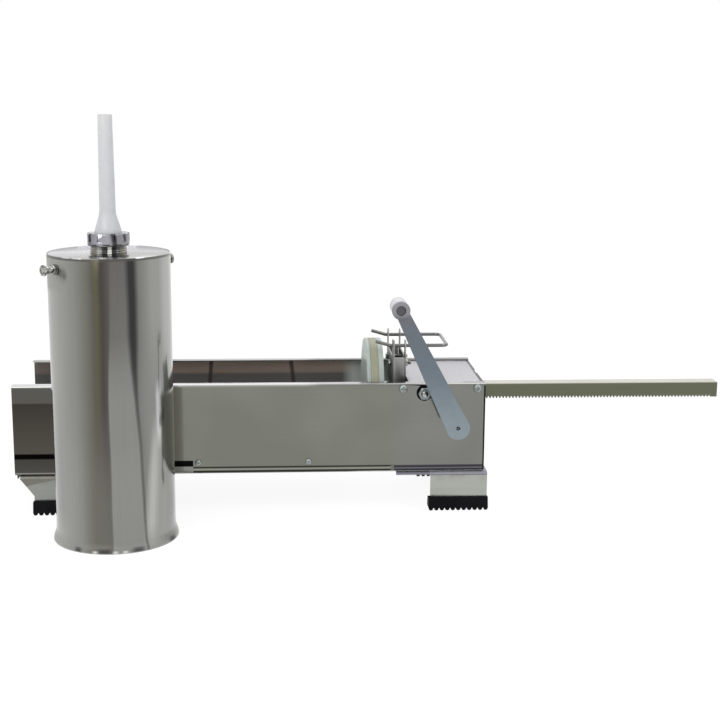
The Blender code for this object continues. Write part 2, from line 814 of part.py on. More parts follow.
def build_leg_rivets(bench):
    head_low = TROUGH_FLOOR + FIT_GAP
    tail_high = LEG_HEIGHT - LEG_SHEET - FIT_GAP
    head_top = head_low + RIVET_HEAD_HEIGHT
    tail_bottom = tail_high - RIVET_HEAD_HEIGHT
    edge = RIVET_HEAD_RADIUS - RIVET_RADIUS
    profile = [
        (0, head_top),
        (RIVET_HEAD_RADIUS - edge / 2, head_top),
        (RIVET_HEAD_RADIUS, head_low),
        (RIVET_RADIUS, head_low),
        (RIVET_RADIUS, tail_high),
        (RIVET_HEAD_RADIUS, tail_high),
        (RIVET_HEAD_RADIUS - edge / 2, tail_bottom),
        (0, tail_bottom),
    ]
    for place, x, y in rivet_places():
        turned(
            f"leg_rivet_{place}",
            bench,
            profile,
            "Z",
            (x, y, 0),
            TINY_STEPS,
            "satin_steel",
            closed=False,
        )


def build_cradles(bench):
    """Saddle plates that the lying cylinder rests in, screwed to both walls."""
    top = TROUGH_FLOOR + CRADLE_HEIGHT
    for name, screw_x in (("cradle_front", CRADLE_FRONT_X), ("cradle_rear", CRADLE_REAR_X)):
        face_x = screw_x - CRADLE_FLANGE / 2
        corners = [
            (face_x + CRADLE_FLANGE, INNER_NEAR_Y),
            (face_x, INNER_NEAR_Y),
            (face_x, INNER_FAR_Y),
            (face_x + CRADLE_FLANGE, INNER_FAR_Y),
        ]
        path = rounded_path(corners, [CRADLE_BEND, CRADLE_BEND])
        path.reverse()
        low = TROUGH_FLOOR + FIT_GAP
        cradle = folded_sheet(name, bench, path, low, top, CRADLE_SHEET, "Z", "satin_steel")
        middle = (face_x, MIDDLE_Y, DRIVE_HEIGHT)
        reach = CRADLE_FLANGE + CUT_OVERRUN
        saddle = disc(
            name + "_saddle",
            bench,
            CYLINDER_RADIUS + FIT_GAP,
            -CUT_OVERRUN,
            reach,
            "X",
            middle,
            LARGE_STEPS,
        )
        cut(cradle, saddle)
        corner_relief = block(
            name + "_relief",
            bench,
            (
                face_x - CUT_OVERRUN,
                INNER_NEAR_Y - FIT_GAP,
                low - CUT_OVERRUN,
            ),
            (
                face_x + reach,
                INNER_NEAR_Y + FLOOR_BEND - TROUGH_SHEET,
                TROUGH_FLOOR + FLOOR_BEND - TROUGH_SHEET,
            ),
        )
        cut(cradle, corner_relief)
        far_relief = block(
            name + "_far_relief",
            bench,
            (
                face_x - CUT_OVERRUN,
                INNER_FAR_Y - FLOOR_BEND + TROUGH_SHEET,
                low - CUT_OVERRUN,
            ),
            (
                face_x + reach,
                INNER_FAR_Y + FIT_GAP,
                TROUGH_FLOOR + FLOOR_BEND - TROUGH_SHEET,
            ),
        )
        cut(cradle, far_relief)
        hole = cross_cutter(
            name + "_hole",
            bench,
            SCREW_RADIUS + FIT_GAP,
            screw_x,
            CRADLE_SCREW_HEIGHT,
            TINY_STEPS,
        )
        cut(cradle, hole)


def pan_screw_profile(head_radius):
    """A pan head outside the wall and a shank that points inwards, along the turning axis."""
    head_top = -FIT_GAP - SCREW_HEAD_HEIGHT
    return [
        (0, SCREW_LENGTH),
        (SCREW_RADIUS, SCREW_LENGTH),
        (SCREW_RADIUS, -FIT_GAP),
        (head_radius, -FIT_GAP),
        (head_radius, -FIT_GAP - SCREW_HEAD_HEIGHT / 2),
        (head_radius * 3 / 4, head_top),
        (0, head_top),
    ]


def flipped(profile):
    """The same turned shape pointing the other way along its axis."""
    return [(radius, -height) for radius, height in reversed(profile)]


def build_side_screws(bench):
    """Screws through both walls, tapped into the cradles' flanges and the lid's skirts."""
    ends = {}
    for x, height, head_radius, kind in side_screw_places():
        ends[kind] = "rear" if kind in ends else "front"
        profile = pan_screw_profile(head_radius)
        near = (x, 0, height)
        far = (x, TROUGH_WIDTH, height)
        for side, centre, shape in (("near", near, profile), ("far", far, flipped(profile))):
            turned(
                f"{kind}_screw_{ends[kind]}_{side}",
                bench,
                shape,
                "Y",
                centre,
                TINY_STEPS,
                "chrome",
                closed=False,
            )


def build_gearbox_plates(bench):
    """The front plate with its latch ears, and the slotted plate at the trough's rear end."""
    half_bracket = BRACKET_WIDTH / 2
    ear_low = MIDDLE_Y - LATCH_SPACING / 2 - EAR_WIDTH / 2
    ear_high = ear_low + EAR_WIDTH
    far_ear_low = MIDDLE_Y + LATCH_SPACING / 2 - EAR_WIDTH / 2
    far_ear_high = far_ear_low + EAR_WIDTH
    low = TROUGH_FLOOR + FIT_GAP
    corners = [
        (INNER_NEAR_Y, low + FLOOR_BEND),
        (INNER_NEAR_Y + FLOOR_BEND, low),
        (INNER_FAR_Y - FLOOR_BEND, low),
        (INNER_FAR_Y, low + FLOOR_BEND),
        (INNER_FAR_Y, GEARBOX_SHOULDER_HEIGHT),
        (MIDDLE_Y + half_bracket, GEARBOX_SHOULDER_HEIGHT),
        (MIDDLE_Y + half_bracket, BRACKET_TOP),
        (far_ear_high, BRACKET_TOP),
        (far_ear_high, EAR_TOP),
        (far_ear_low, EAR_TOP),
        (far_ear_low, BRACKET_TOP),
        (ear_high, BRACKET_TOP),
        (ear_high, EAR_TOP),
        (ear_low, EAR_TOP),
        (ear_low, BRACKET_TOP),
        (MIDDLE_Y - half_bracket, BRACKET_TOP),
        (MIDDLE_Y - half_bracket, GEARBOX_SHOULDER_HEIGHT),
        (INNER_NEAR_Y, GEARBOX_SHOULDER_HEIGHT),
    ]
    radii = [0] * len(corners)
    for corner in (8, 9, 12, 13):
        radii[corner] = EAR_CORNER
    window_half = RACK_SECTION / 2 + SLIDE_GAP
    holes = [
        box_outline(
            (MIDDLE_Y - window_half, DRIVE_HEIGHT - window_half),
            (MIDDLE_Y + window_half, DRIVE_HEIGHT + window_half),
        ),
        *latch_holes(),
    ]
    outline = rounded_outline(corners, radii)
    middle_x = FRONT_PLATE_X + GEARBOX_SHEET / 2
    plate(
        "gearbox_front_plate", bench, outline, holes, GEARBOX_SHEET, "X", middle_x, "satin_steel"
    )

    slot_half = REAR_SLOT_WIDTH / 2
    slot_floor = RACK_TIP_LINE - REAR_SLOT_FLOOR_GAP
    top = LID_TOP
    rear = [
        (INNER_NEAR_Y, low + FLOOR_BEND),
        (INNER_NEAR_Y + FLOOR_BEND, low),
        (INNER_FAR_Y - FLOOR_BEND, low),
        (INNER_FAR_Y, low + FLOOR_BEND),
        (INNER_FAR_Y, top - FLANGE_BEND),
        (INNER_FAR_Y - FLANGE_BEND, top),
        (MIDDLE_Y + slot_half, top),
        (MIDDLE_Y + slot_half, slot_floor),
        (MIDDLE_Y - slot_half, slot_floor),
        (MIDDLE_Y - slot_half, top),
        (INNER_NEAR_Y + FLANGE_BEND, top),
        (INNER_NEAR_Y, top - FLANGE_BEND),
    ]
    middle_x = REAR_PLATE_X + GEARBOX_SHEET / 2
    plate("rear_end_plate", bench, rear, [], GEARBOX_SHEET, "X", middle_x, "satin_steel")


def latch_holes():
    """Outlines, in the plane across the rack, of the wire's guide holes and the bolt holes."""
    wire_hole = LATCH_WIRE_RADIUS + FIT_GAP
    bolt_hole = LATCH_BOLT_RADIUS + FIT_GAP
    holes = []
    for side in (-1, 1):
        wire = (MIDDLE_Y + side * LATCH_SPACING / 2, LATCH_HEIGHT)
        bolt = (MIDDLE_Y + side * LATCH_BOLT_SPACING / 2, LATCH_BOLT_HEIGHT)
        holes.append(circle_points(wire, wire_hole, SMALL_STEPS))
        holes.append(circle_points(bolt, bolt_hole, TINY_STEPS))
    return holes


def build_lid(bench):
    """A channel with down-turned skirts, tucked under the trough's flanges."""
    bottom = LID_TOP - LID_SKIRT
    corners = [
        (INNER_NEAR_Y, bottom),
        (INNER_NEAR_Y, LID_TOP),
        (INNER_FAR_Y, LID_TOP),
        (INNER_FAR_Y, bottom),
    ]
    path = rounded_path(corners, [LID_BEND, LID_BEND])
    path.reverse()
    start = LID_FRONT_X - LID_TAB_LENGTH
    end = REAR_PLATE_X - FIT_GAP
    lid = folded_sheet("gearbox_lid", bench, path, start, end, GEARBOX_SHEET, "X", "satin_steel")
    gap = block(
        "lid_front_gap",
        bench,
        (start - CUT_OVERRUN, INNER_NEAR_Y + LID_BEND, bottom - CUT_OVERRUN),
        (LID_FRONT_X, INNER_FAR_Y - LID_BEND, LID_TOP + CUT_OVERRUN),
    )
    cut(lid, gap)
    for index, (x, height, _, kind) in enumerate(side_screw_places()):
        if kind == "lid":
            name = f"lid_hole_{index}"
            cut(lid, cross_cutter(name, bench, SCREW_RADIUS + FIT_GAP, x, height, TINY_STEPS))
    notch_radius = HOLD_DOWN_RADIUS + FIT_GAP
    notch = cross_cutter(
        "lid_bolt_notch", bench, notch_radius, HOLD_DOWN_X, HOLD_DOWN_HEIGHT, SMALL_STEPS
    )
    cut(lid, notch)


def build_hold_down(bench):
    """The bolt across the gearbox that keeps the rack down on the pinion."""
    centre = (HOLD_DOWN_X, 0, HOLD_DOWN_HEIGHT)
    bolt = disc(
        "hold_down_bolt",
        bench,
        HOLD_DOWN_RADIUS,
        -HOLD_DOWN_END,
        TROUGH_WIDTH + FIT_GAP + HOLD_DOWN_HEAD_HEIGHT / 2,
        "Y",
        centre,
        SMALL_STEPS,
        "chrome",
    )
    head_y = TROUGH_WIDTH + FIT_GAP + HOLD_DOWN_HEAD_HEIGHT / 2
    middle = (HOLD_DOWN_X, HOLD_DOWN_HEIGHT)
    head_outline = circle_points(middle, HOLD_DOWN_NUT_RADIUS, HEX_SIDES)
    head = plate(
        "hold_down_head", bench, head_outline, [], HOLD_DOWN_HEAD_HEIGHT, "Y", head_y
    )
    join(bolt, head)
    hole = circle_points(middle, HOLD_DOWN_RADIUS + FIT_GAP, SMALL_STEPS)
    nut_y = -FIT_GAP - HOLD_DOWN_NUT_HEIGHT / 2
    plate(
        "hold_down_nut",
        bench,
        head_outline,
        [hole],
        HOLD_DOWN_NUT_HEIGHT,
        "Y",
        nut_y,
        "chrome",
    )


def build_bushes(bench):
    bore = SHAFT_RADIUS + SLIDE_GAP
    flange_radius = BUSH_RADIUS + BUSH_FLANGE
    flange_inner = -FIT_GAP
    flange_outer = flange_inner - BUSH_FLANGE_THICKNESS
    profile = [
        (BUSH_RADIUS, BUSH_LENGTH),
        (BUSH_RADIUS, flange_inner),
        (flange_radius, flange_inner),
        (flange_radius, flange_outer),
        (bore, flange_outer),
        (bore, BUSH_LENGTH),
    ]
    near = (CRANK_X, 0, CRANK_HEIGHT)
    far = (CRANK_X, TROUGH_WIDTH, CRANK_HEIGHT)
    turned("shaft_bush_near", bench, profile, "Y", near, MEDIUM_STEPS, "bronze")
    turned("shaft_bush_far", bench, flipped(profile), "Y", far, MEDIUM_STEPS, "bronze")


def build_latch_bracket(bench):
    """A channel with ears, bolted to the gearbox front plate."""
    half = BRACKET_WIDTH / 2
    near = MIDDLE_Y - half
    far = MIDDLE_Y + half
    back = FRONT_PLATE_X - FIT_GAP
    corners = [(back, near), (BRACKET_FRONT_X, near), (BRACKET_FRONT_X, far), (back, far)]
    path = rounded_path(corners, [BRACKET_BEND, BRACKET_BEND])
    path.reverse()
    low = RACK_TOP + BRACKET_FOOT_GAP
    bracket = folded_sheet(
        "latch_bracket", bench, path, low, EAR_TOP, GEARBOX_SHEET, "Z", "polished_steel"
    )
    ear_half = EAR_WIDTH / 2
    inner_low = MIDDLE_Y - LATCH_SPACING / 2 + ear_half
    inner_high = MIDDLE_Y + LATCH_SPACING / 2 - ear_half
    over = CUT_OVERRUN
    front = BRACKET_FRONT_X - over
    cut(
        bracket,
        block(
            "bracket_dip",
            bench,
            (front, inner_low, BRACKET_TOP),
            (back + over, inner_high, EAR_TOP + over),
        ),
    )
    web_x = BRACKET_FRONT_X + BRACKET_BEND
    outer_low = MIDDLE_Y - LATCH_SPACING / 2 - ear_half
    outer_high = MIDDLE_Y + LATCH_SPACING / 2 + ear_half
    cut(
        bracket,
        block(
            "bracket_web_top",
            bench,
            (web_x, near - over, BRACKET_TOP),
            (back + over, far + over, EAR_TOP + over),
        ),
    )
    for name, edge, outside in (
        ("bracket_near_side", outer_low, near - over),
        ("bracket_far_side", outer_high, far + over),
    ):
        cut(
            bracket,
            block(
                name,
                bench,
                (front, min(edge, outside), BRACKET_TOP),
                (back + over, max(edge, outside), EAR_TOP + over),
            ),
        )
    for index, hole in enumerate(latch_holes()):
        cutter = plate(
            f"bracket_hole_{index}",
            bench,
            hole,
            [],
            GEARBOX_SHEET + 2 * over,
            "X",
            BRACKET_FRONT_X + GEARBOX_SHEET / 2,
        )
        cut(bracket, cutter)


def build_latch_bolts(bench):
    head_back = BRACKET_FRONT_X - FIT_GAP
    nut_front = FRONT_PLATE_X + GEARBOX_SHEET + FIT_GAP
    shank_end = FRONT_PLATE_X + GEARBOX_SHEET + LATCH_BOLT_END
    profile = [
        (0, shank_end),
        (LATCH_BOLT_RADIUS, shank_end),
        (LATCH_BOLT_RADIUS, head_back),
        (LATCH_BOLT_HEAD_RADIUS, head_back),
        (LATCH_BOLT_HEAD_RADIUS, head_back - LATCH_BOLT_HEAD_HEIGHT),
        (0, head_back - LATCH_BOLT_HEAD_HEIGHT),
    ]
    for side_name, side in (("near", -1), ("far", 1)):
        y = MIDDLE_Y + side * LATCH_BOLT_SPACING / 2
        centre = (0, y, LATCH_BOLT_HEIGHT)
        turned(
            f"latch_bolt_{side_name}",
            bench,
            profile,
            "X",
            centre,
            TINY_STEPS,
            "chrome",
            closed=False,
        )
        middle = (y, LATCH_BOLT_HEIGHT)
        outline = circle_points(middle, LATCH_NUT_RADIUS, HEX_SIDES)
        hole = circle_points(middle, LATCH_BOLT_RADIUS + FIT_GAP, TINY_STEPS)
        plate(
            f"latch_nut_{side_name}",
            bench,
            outline,
            [hole],
            LATCH_NUT_HEIGHT,
            "X",
            nut_front + LATCH_NUT_HEIGHT / 2,
            "chrome",
        )


def build_latch_wire(bench):
    """A U of round wire that slides in the ears, its two noses turned up."""
    slide = make_empty("latch_slide_axis", bench, (LATCH_TAIL_X, MIDDLE_Y, LATCH_HEIGHT))
    half = LATCH_SPACING / 2
    nose_x = LATCH_NOSE_X - LATCH_TAIL_X
    bend_x = BRACKET_FRONT_X - LATCH_NOSE_BEND_GAP - LATCH_TAIL_X
    plan = rounded_path(
        [(bend_x, -half), (0, -half), (0, half), (bend_x, half)], [LATCH_BEND, LATCH_BEND]
    )
    points = [(nose_x, -half, LATCH_NOSE_RISE)]
    points += [(x, y, 0) for x, y in plan]
    points.append((nose_x, half, LATCH_NOSE_RISE))
    curve = bpy.data.curves.new("latch_wire_path", "CURVE")
    curve.dimensions = "3D"
    curve.bevel_depth = LATCH_WIRE_RADIUS
    curve.bevel_resolution = 2
    curve.use_fill_caps = True
    spline = curve.splines.new("POLY")
    spline.points.add(len(points) - 1)
    for point, place in zip(spline.points, points):
        point.co = (*place, 1)
    guide = bpy.data.objects.new("latch_wire_path", curve)
    CUTTERS.objects.link(guide)
    mesh = mesh_from(guide, "latch_wire")
    bpy.data.objects.remove(guide)
    bpy.data.curves.remove(curve)
    mesh.materials.clear()
    link_object("latch_wire", mesh, slide, (0, 0, 0), (0, 0, 0), "chrome")


def rack_outline():
    """Side view of the rack, its teeth cut into the underside, measured from the crank's X."""
    low = RACK_TIP_LINE
    root = RACK_PITCH_LINE + DEDENDUM_SHARE * TOOTH_MODULE
    slope = math.tan(PRESSURE_ANGLE)
    half = (TOOTH_PITCH / 2 - TOOTH_BACKLASH) / 2
    tip_half = half - (RACK_PITCH_LINE - low) * slope
    root_half = half + (root - RACK_PITCH_LINE) * slope
    toothed = RACK_REAR_X - RACK_PLAIN_END - CRANK_X
    behind = math.floor(toothed / TOOTH_PITCH - 1 / 2)
    front = RACK_FRONT_X
    rear = RACK_REAR_X
    outline = [
        (front, low + RACK_EDGE),
        (front, RACK_TOP - RACK_EDGE),
        (front + RACK_EDGE, RACK_TOP),
        (rear - RACK_EDGE, RACK_TOP),
        (rear, RACK_TOP - RACK_EDGE),
        (rear, low + RACK_EDGE),
        (rear - RACK_EDGE, low),
    ]
    last_gap = CRANK_X + behind * TOOTH_PITCH
    outline.append((last_gap + TOOTH_PITCH / 2 - tip_half, low))
    outline.append((last_gap + TOOTH_PITCH / 2 - root_half, root))
    for index in range(behind - 1, -RACK_TEETH_AHEAD - 1, -1):
        middle = CRANK_X + (index + 1 / 2) * TOOTH_PITCH
        outline += [
            (middle + root_half, root),
            (middle + tip_half, low),
            (middle - tip_half, low),
            (middle - root_half, root),
        ]
    first_gap = CRANK_X - RACK_TEETH_AHEAD * TOOTH_PITCH
    outline.append((first_gap - TOOTH_PITCH / 2 + root_half, root))
    outline.append((first_gap - TOOTH_PITCH / 2 + tip_half, low))
    outline.append((front + RACK_EDGE, low))
    return outline


def build_rack(bench):
    carriage = make_empty("rack_slide_axis", bench, (RACK_FRONT_X, MIDDLE_Y, DRIVE_HEIGHT))
    outline = [(x - RACK_FRONT_X, z - DRIVE_HEIGHT) for x, z in rack_outline()]
    rack = plate("rack", carriage, outline, [], RACK_SECTION, "Y", 0, "olive_steel")
    bore_depth = PISTON_BOLT_LENGTH - (RACK_FRONT_X - PISTON_FRONT_X) + PISTON_BOLT_HEAD_HEIGHT
    bore = disc(
        "rack_bore",
        carriage,
        PISTON_BOLT_RADIUS + FIT_GAP,
        -CUT_OVERRUN,
        bore_depth,
        "X",
        (0, 0, 0),
        SMALL_STEPS,
    )
    cut_closed(rack, bore)
    return carriage


def build_piston(carriage):
    """Nylon discs either side of a soft sealing ring, bolted to the rack's end."""
    origin = RACK_FRONT_X
    front = PISTON_FRONT_X - origin
    front_back = front + PISTON_FRONT_THICKNESS
    seal_front = SEAL_FRONT_X - origin
    seal_back = seal_front + PISTON_SEAL_THICKNESS
    rear_front = REAR_DISC_FRONT_X - origin
    rear_back = PISTON_REAR_X - origin
    bolt_hole = PISTON_BOLT_RADIUS + FIT_GAP
    head_hole = PISTON_BOLT_HEAD_RADIUS + FIT_GAP
    head_seat = front + PISTON_BOLT_HEAD_HEIGHT + FIT_GAP
    front_profile = [
        (bolt_hole, seal_back),
        (PISTON_HUB_RADIUS, seal_back),
        (PISTON_HUB_RADIUS, front_back),
        (PISTON_RADIUS, front_back),
        (PISTON_RADIUS, front + PISTON_EDGE),
        (PISTON_RADIUS - PISTON_EDGE, front),
        (head_hole, front),
        (head_hole, head_seat),
        (bolt_hole, head_seat),
    ]
    turned(
        "piston_front_disc", carriage, front_profile, "X", (0, 0, 0), DISC_STEPS, "nylon"
    )
    middle = (seal_front + seal_back) / 2
    lip = SEAL_RADIUS - PISTON_RADIUS
    seal_profile = [
        (SEAL_RADIUS - lip, seal_back),
        (SEAL_RADIUS, (seal_back + middle) / 2),
        (SEAL_RADIUS - lip, middle),
        (SEAL_RADIUS, (seal_front + middle) / 2),
        (SEAL_RADIUS - lip, seal_front),
        (PISTON_HUB_RADIUS + FIT_GAP, seal_front),
        (PISTON_HUB_RADIUS + FIT_GAP, seal_back),
    ]
    turned("piston_seal", carriage, seal_profile, "X", (0, 0, 0), DISC_STEPS, "silicone")
    rear_profile = [
        (bolt_hole, rear_back),
        (PISTON_RADIUS - PISTON_EDGE, rear_back),
        (PISTON_RADIUS, rear_back - PISTON_EDGE),
        (PISTON_RADIUS, rear_front),
        (bolt_hole, rear_front),
    ]
    turned("piston_rear_disc", carriage, rear_profile, "X", (0, 0, 0), DISC_STEPS, "nylon")
    head_front = front + FIT_GAP / 2
    head_back = head_front + PISTON_BOLT_HEAD_HEIGHT
    bolt_profile = [
        (0, head_front + PISTON_BOLT_LENGTH),
        (PISTON_BOLT_RADIUS, head_front + PISTON_BOLT_LENGTH),
        (PISTON_BOLT_RADIUS, head_back),
        (PISTON_BOLT_HEAD_RADIUS, head_back),
        (PISTON_BOLT_HEAD_RADIUS, head_front),
        (0, head_front),
    ]
    turned(
        "piston_bolt",
        carriage,
        bolt_profile,
        "X",
        (0, 0, 0),
        SMALL_STEPS,
        "chrome",
        closed=False,
    )


def pinion_outline():
    """Involute teeth about the crank's axis, with one tooth pointing straight up at the rack."""
    base = PITCH_RADIUS * math.cos(PRESSURE_ANGLE)
    tip = PITCH_RADIUS + PINION_ADDENDUM_SHARE * TOOTH_MODULE
    root = PITCH_RADIUS - DEDENDUM_SHARE * TOOTH_MODULE
    involute_pitch = math.tan(PRESSURE_ANGLE) - PRESSURE_ANGLE
    half_tooth = math.pi / (2 * PINION_TEETH)

    def half_angle(radius):
        pressure = math.acos(min(1, base / radius))
        return half_tooth + involute_pitch - (math.tan(pressure) - pressure)

    flank = [(root, half_angle(base))]
    for step in range(FLANK_STEPS + 1):
        radius = base + (tip - base) * step / FLANK_STEPS
        flank.append((radius, half_angle(radius)))
    outline = []
    for tooth in range(PINION_TEETH):
        middle = math.pi / 2 - 2 * math.pi * tooth / PINION_TEETH
        for radius, angle in flank:
            outline.append(
                (radius * math.cos(middle + angle), radius * math.sin(middle + angle))
            )
        for radius, angle in reversed(flank):
            outline.append(
                (radius * math.cos(middle - angle), radius * math.sin(middle - angle))
            )
    return outline


def cross_pin(name, crank, radius, y, finish):
    """A short pin across the shaft, standing upright, as long as the hub that it locks."""
    length = radius - FIT_GAP
    return disc(
        name, crank, CROSS_PIN_RADIUS, -length, length, "Z", (0, y, 0), TINY_STEPS, finish
    )


def cross_pin_hole(name, crank, radius, y, pieces):
    reach = radius + CUT_OVERRUN
    hole = disc(
        name,
        crank,
        CROSS_PIN_RADIUS + FIT_GAP,
        -reach,
        reach,
        "Z",
        (0, y, 0),
        TINY_STEPS,
    )
    for piece in pieces:
        cut(piece, hole)


def build_pinion(crank):
    """The toothed pinion and the plain hub beside its teeth, bored for the shaft."""
    gear_low = MIDDLE_Y - PINION_FACE / 2
    hub_high = MIDDLE_Y + PINION_FACE / 2 + PINION_HUB_LENGTH
    pinion = plate(
        "pinion", crank, pinion_outline(), [], PINION_FACE, "Y", MIDDLE_Y, "satin_steel"
    )
    hub = disc(
        "pinion_hub", crank, pinion_hub_radius(), MIDDLE_Y, hub_high, "Y", (0, 0, 0), MEDIUM_STEPS
    )
    join(pinion, hub)
    bore = disc(
        "pinion_bore",
        crank,
        SHAFT_RADIUS + FIT_GAP,
        gear_low - CUT_OVERRUN,
        hub_high + CUT_OVERRUN,
        "Y",
        (0, 0, 0),
        MEDIUM_STEPS,
    )
    cut(pinion, bore)
    return pinion


def pinion_hub_radius():
    return PITCH_RADIUS - DEDENDUM_SHARE * TOOTH_MODULE - PINION_HUB_STEP


def build_shaft(crank):
    """The turned shaft, with a centre hole at the arm and a circlip groove at its far end."""
    start = ARM_INNER_Y + FIT_GAP
    groove_low = TROUGH_WIDTH + 2 * FIT_GAP + BUSH_FLANGE_THICKNESS
    groove_high = groove_low + CIRCLIP_THICKNESS + 2 * FIT_GAP
    groove_radius = SHAFT_RADIUS - CIRCLIP_GROOVE_DEPTH
    far_end = TROUGH_WIDTH + SHAFT_FAR_END
    profile = [
        (0, far_end),
        (SHAFT_RADIUS, far_end),
        (SHAFT_RADIUS, groove_high),
        (groove_radius, groove_high),
        (groove_radius, groove_low),
        (SHAFT_RADIUS, groove_low),
        (SHAFT_RADIUS, start),
        (SHAFT_CENTRE_HOLE, start),
        (0, start + SHAFT_CENTRE_HOLE),
    ]
    shaft = turned(
        "crank_shaft",
        crank,
        profile,
        "Y",
        (0, 0, 0),
        MEDIUM_STEPS,
        "satin_steel",
        closed=False,
    )
    clip_middle = groove_low + FIT_GAP + CIRCLIP_THICKNESS / 2
    inner = groove_radius + FIT_GAP
    outer = SHAFT_RADIUS + CIRCLIP_RIM
    mouth = math.asin(CIRCLIP_MOUTH / 2 / outer)
    start_angle = -math.pi / 2 + mouth
    end_angle = 3 * math.pi / 2 - mouth
    outline = arc_points((0, 0), outer, start_angle, end_angle, MEDIUM_STEPS)
    outline += arc_points((0, 0), inner, end_angle, start_angle, MEDIUM_STEPS)
    plate(
        "shaft_circlip", crank, outline, [], CIRCLIP_THICKNESS, "Y", clip_middle, "satin_steel"
    )
    return shaft


def arm_outline():
    """Tapered bar with a round shaft end and a wider round boss, seen from the front."""
    length = CRANK_THROW
    taper = math.asin((ARM_SHAFT_HALF_WIDTH - ARM_TIP_HALF_WIDTH) / length)
    low = arc_points(
        (0, 0), ARM_SHAFT_HALF_WIDTH, math.pi - taper, 2 * math.pi + taper, END_ARC_STEPS
    )
    bite = math.acos(ARM_TIP_HALF_WIDTH / BOSS_RADIUS)
    start = taper - bite
    high = arc_points((0, length), BOSS_RADIUS, start, math.pi - start, 2 * END_ARC_STEPS)
    return low + high


def leaned(points):
    """Turn points of the upright crank to its lean towards the front of the trough."""
    cosine = math.cos(CRANK_LEAN)
    sine = math.sin(CRANK_LEAN)
    return [(x * cosine - z * sine, x * sine + z * cosine) for x, z in points]


def build_arm(crank):
    middle_y = (ARM_INNER_Y + ARM_OUTER_Y) / 2
    hole = circle_points((0, 0), ARM_HOLE_RADIUS, SMALL_STEPS)
    arm = plate(
        "crank_arm",
        crank,
        leaned(arm_outline()),
        [hole],
        ARM_THICKNESS,
        "Y",
        middle_y,
        "zinc_steel",
    )
    boss = disc(
        "arm_boss",
        crank,
        BOSS_RADIUS - ARM_EDGE,
        BOSS_FACE_Y,
        middle_y,
        "Y",
        (GRIP_X, 0, GRIP_Z),
        MEDIUM_STEPS,
        edge=ARM_EDGE,
    )
    join(arm, boss)
    spindle_hole = disc(
        "arm_spindle_hole",
        crank,
        SPINDLE_SHOULDER_RADIUS + FIT_GAP,
        BOSS_FACE_Y - CUT_OVERRUN,
        ARM_INNER_Y + CUT_OVERRUN,
        "Y",
        (GRIP_X, 0, GRIP_Z),
        MEDIUM_STEPS,
    )
    cut(arm, spindle_hole)


def build_grip(crank):
    """The white grip turns freely on its spindle, on the trough's side of the arm."""
    spin = make_empty("grip_spin_axis", crank, (GRIP_X, 0, GRIP_Z))
    head_low = GRIP_END_Y + FIT_GAP
    spindle_profile = [
        (0, head_low + SPINDLE_HEAD_HEIGHT),
        (SPINDLE_HEAD_RADIUS, head_low + SPINDLE_HEAD_HEIGHT),
        (SPINDLE_HEAD_RADIUS, head_low),
        (SPINDLE_RADIUS, head_low),
        (SPINDLE_RADIUS, ARM_INNER_Y),
        (SPINDLE_SHOULDER_RADIUS, ARM_INNER_Y),
        (SPINDLE_SHOULDER_RADIUS, BOSS_FACE_Y + SPINDLE_RECESS),
        (0, BOSS_FACE_Y + SPINDLE_RECESS),
    ]
    turned(
        "grip_spindle",
        crank,
        spindle_profile,
        "Y",
        (GRIP_X, 0, GRIP_Z),
        MEDIUM_STEPS,
        "zinc_steel",
        closed=False,
    )
    low = GRIP_START_Y
    high = GRIP_END_Y
    bore = SPINDLE_RADIUS + SLIDE_GAP
    grip_profile = [
        (GRIP_RIM_RADIUS - GRIP_EDGE, high),
        (GRIP_RIM_RADIUS, high - GRIP_EDGE),
        (GRIP_RIM_RADIUS, high - GRIP_RIM_LENGTH),
        (GRIP_RADIUS, high - GRIP_RIM_LENGTH),
        (GRIP_RADIUS, low + GRIP_RIM_LENGTH),
        (GRIP_RIM_RADIUS, low + GRIP_RIM_LENGTH),
        (GRIP_RIM_RADIUS, low),
        (bore, low),
        (bore, high),
    ]
    turned(
        "crank_grip", spin, grip_profile, "Y", (0, 0, 0), MEDIUM_STEPS, "white_plastic"
    )


def build_crank(bench):
    """Everything that turns about the crank's axis."""
    crank = make_empty("crank_turn_axis", bench, (CRANK_X, 0, CRANK_HEIGHT))
    shaft = build_shaft(crank)
    pinion = build_pinion(crank)
    pinion_pin_y = MIDDLE_Y + PINION_FACE / 2 + PINION_HUB_LENGTH / 2
    cross_pin_hole(
        "pinion_pin_hole", crank, pinion_hub_radius(), pinion_pin_y, [shaft, pinion]
    )
    cross_pin("pinion_pin", crank, pinion_hub_radius(), pinion_pin_y, "chrome")

    hub_start = ARM_INNER_Y + FIT_GAP
    hub_end = hub_start + HUB_LENGTH
    hub = ring(
        "crank_hub",
        crank,
        HUB_RADIUS,
        SHAFT_RADIUS + FIT_GAP,
        hub_start,
        hub_end,
        "Y",
        (0, 0, 0),
        MEDIUM_STEPS,
        "zinc_steel",
    )
    hub_pin_y = (hub_start + hub_end) / 2
    cross_pin_hole("hub_pin_hole", crank, HUB_RADIUS, hub_pin_y, [shaft, hub])
    cross_pin("hub_pin", crank, HUB_RADIUS, hub_pin_y, "chrome")

    collar_low = BUSH_LENGTH + FIT_GAP
    ring(
        "shaft_collar",
        crank,
        COLLAR_RADIUS,
        SHAFT_RADIUS + FIT_GAP,
        collar_low,
        collar_low + COLLAR_LENGTH,
        "Y",
        (0, 0, 0),
        MEDIUM_STEPS,
        "satin_steel",
    )
    build_arm(crank)
    build_grip(crank)


def flare_share(share):
    """Eased widening of the cylinder's wall, from 0 where the flare starts to 1 at the rim."""
    return (1 - math.cos(math.pi * share)) / 2


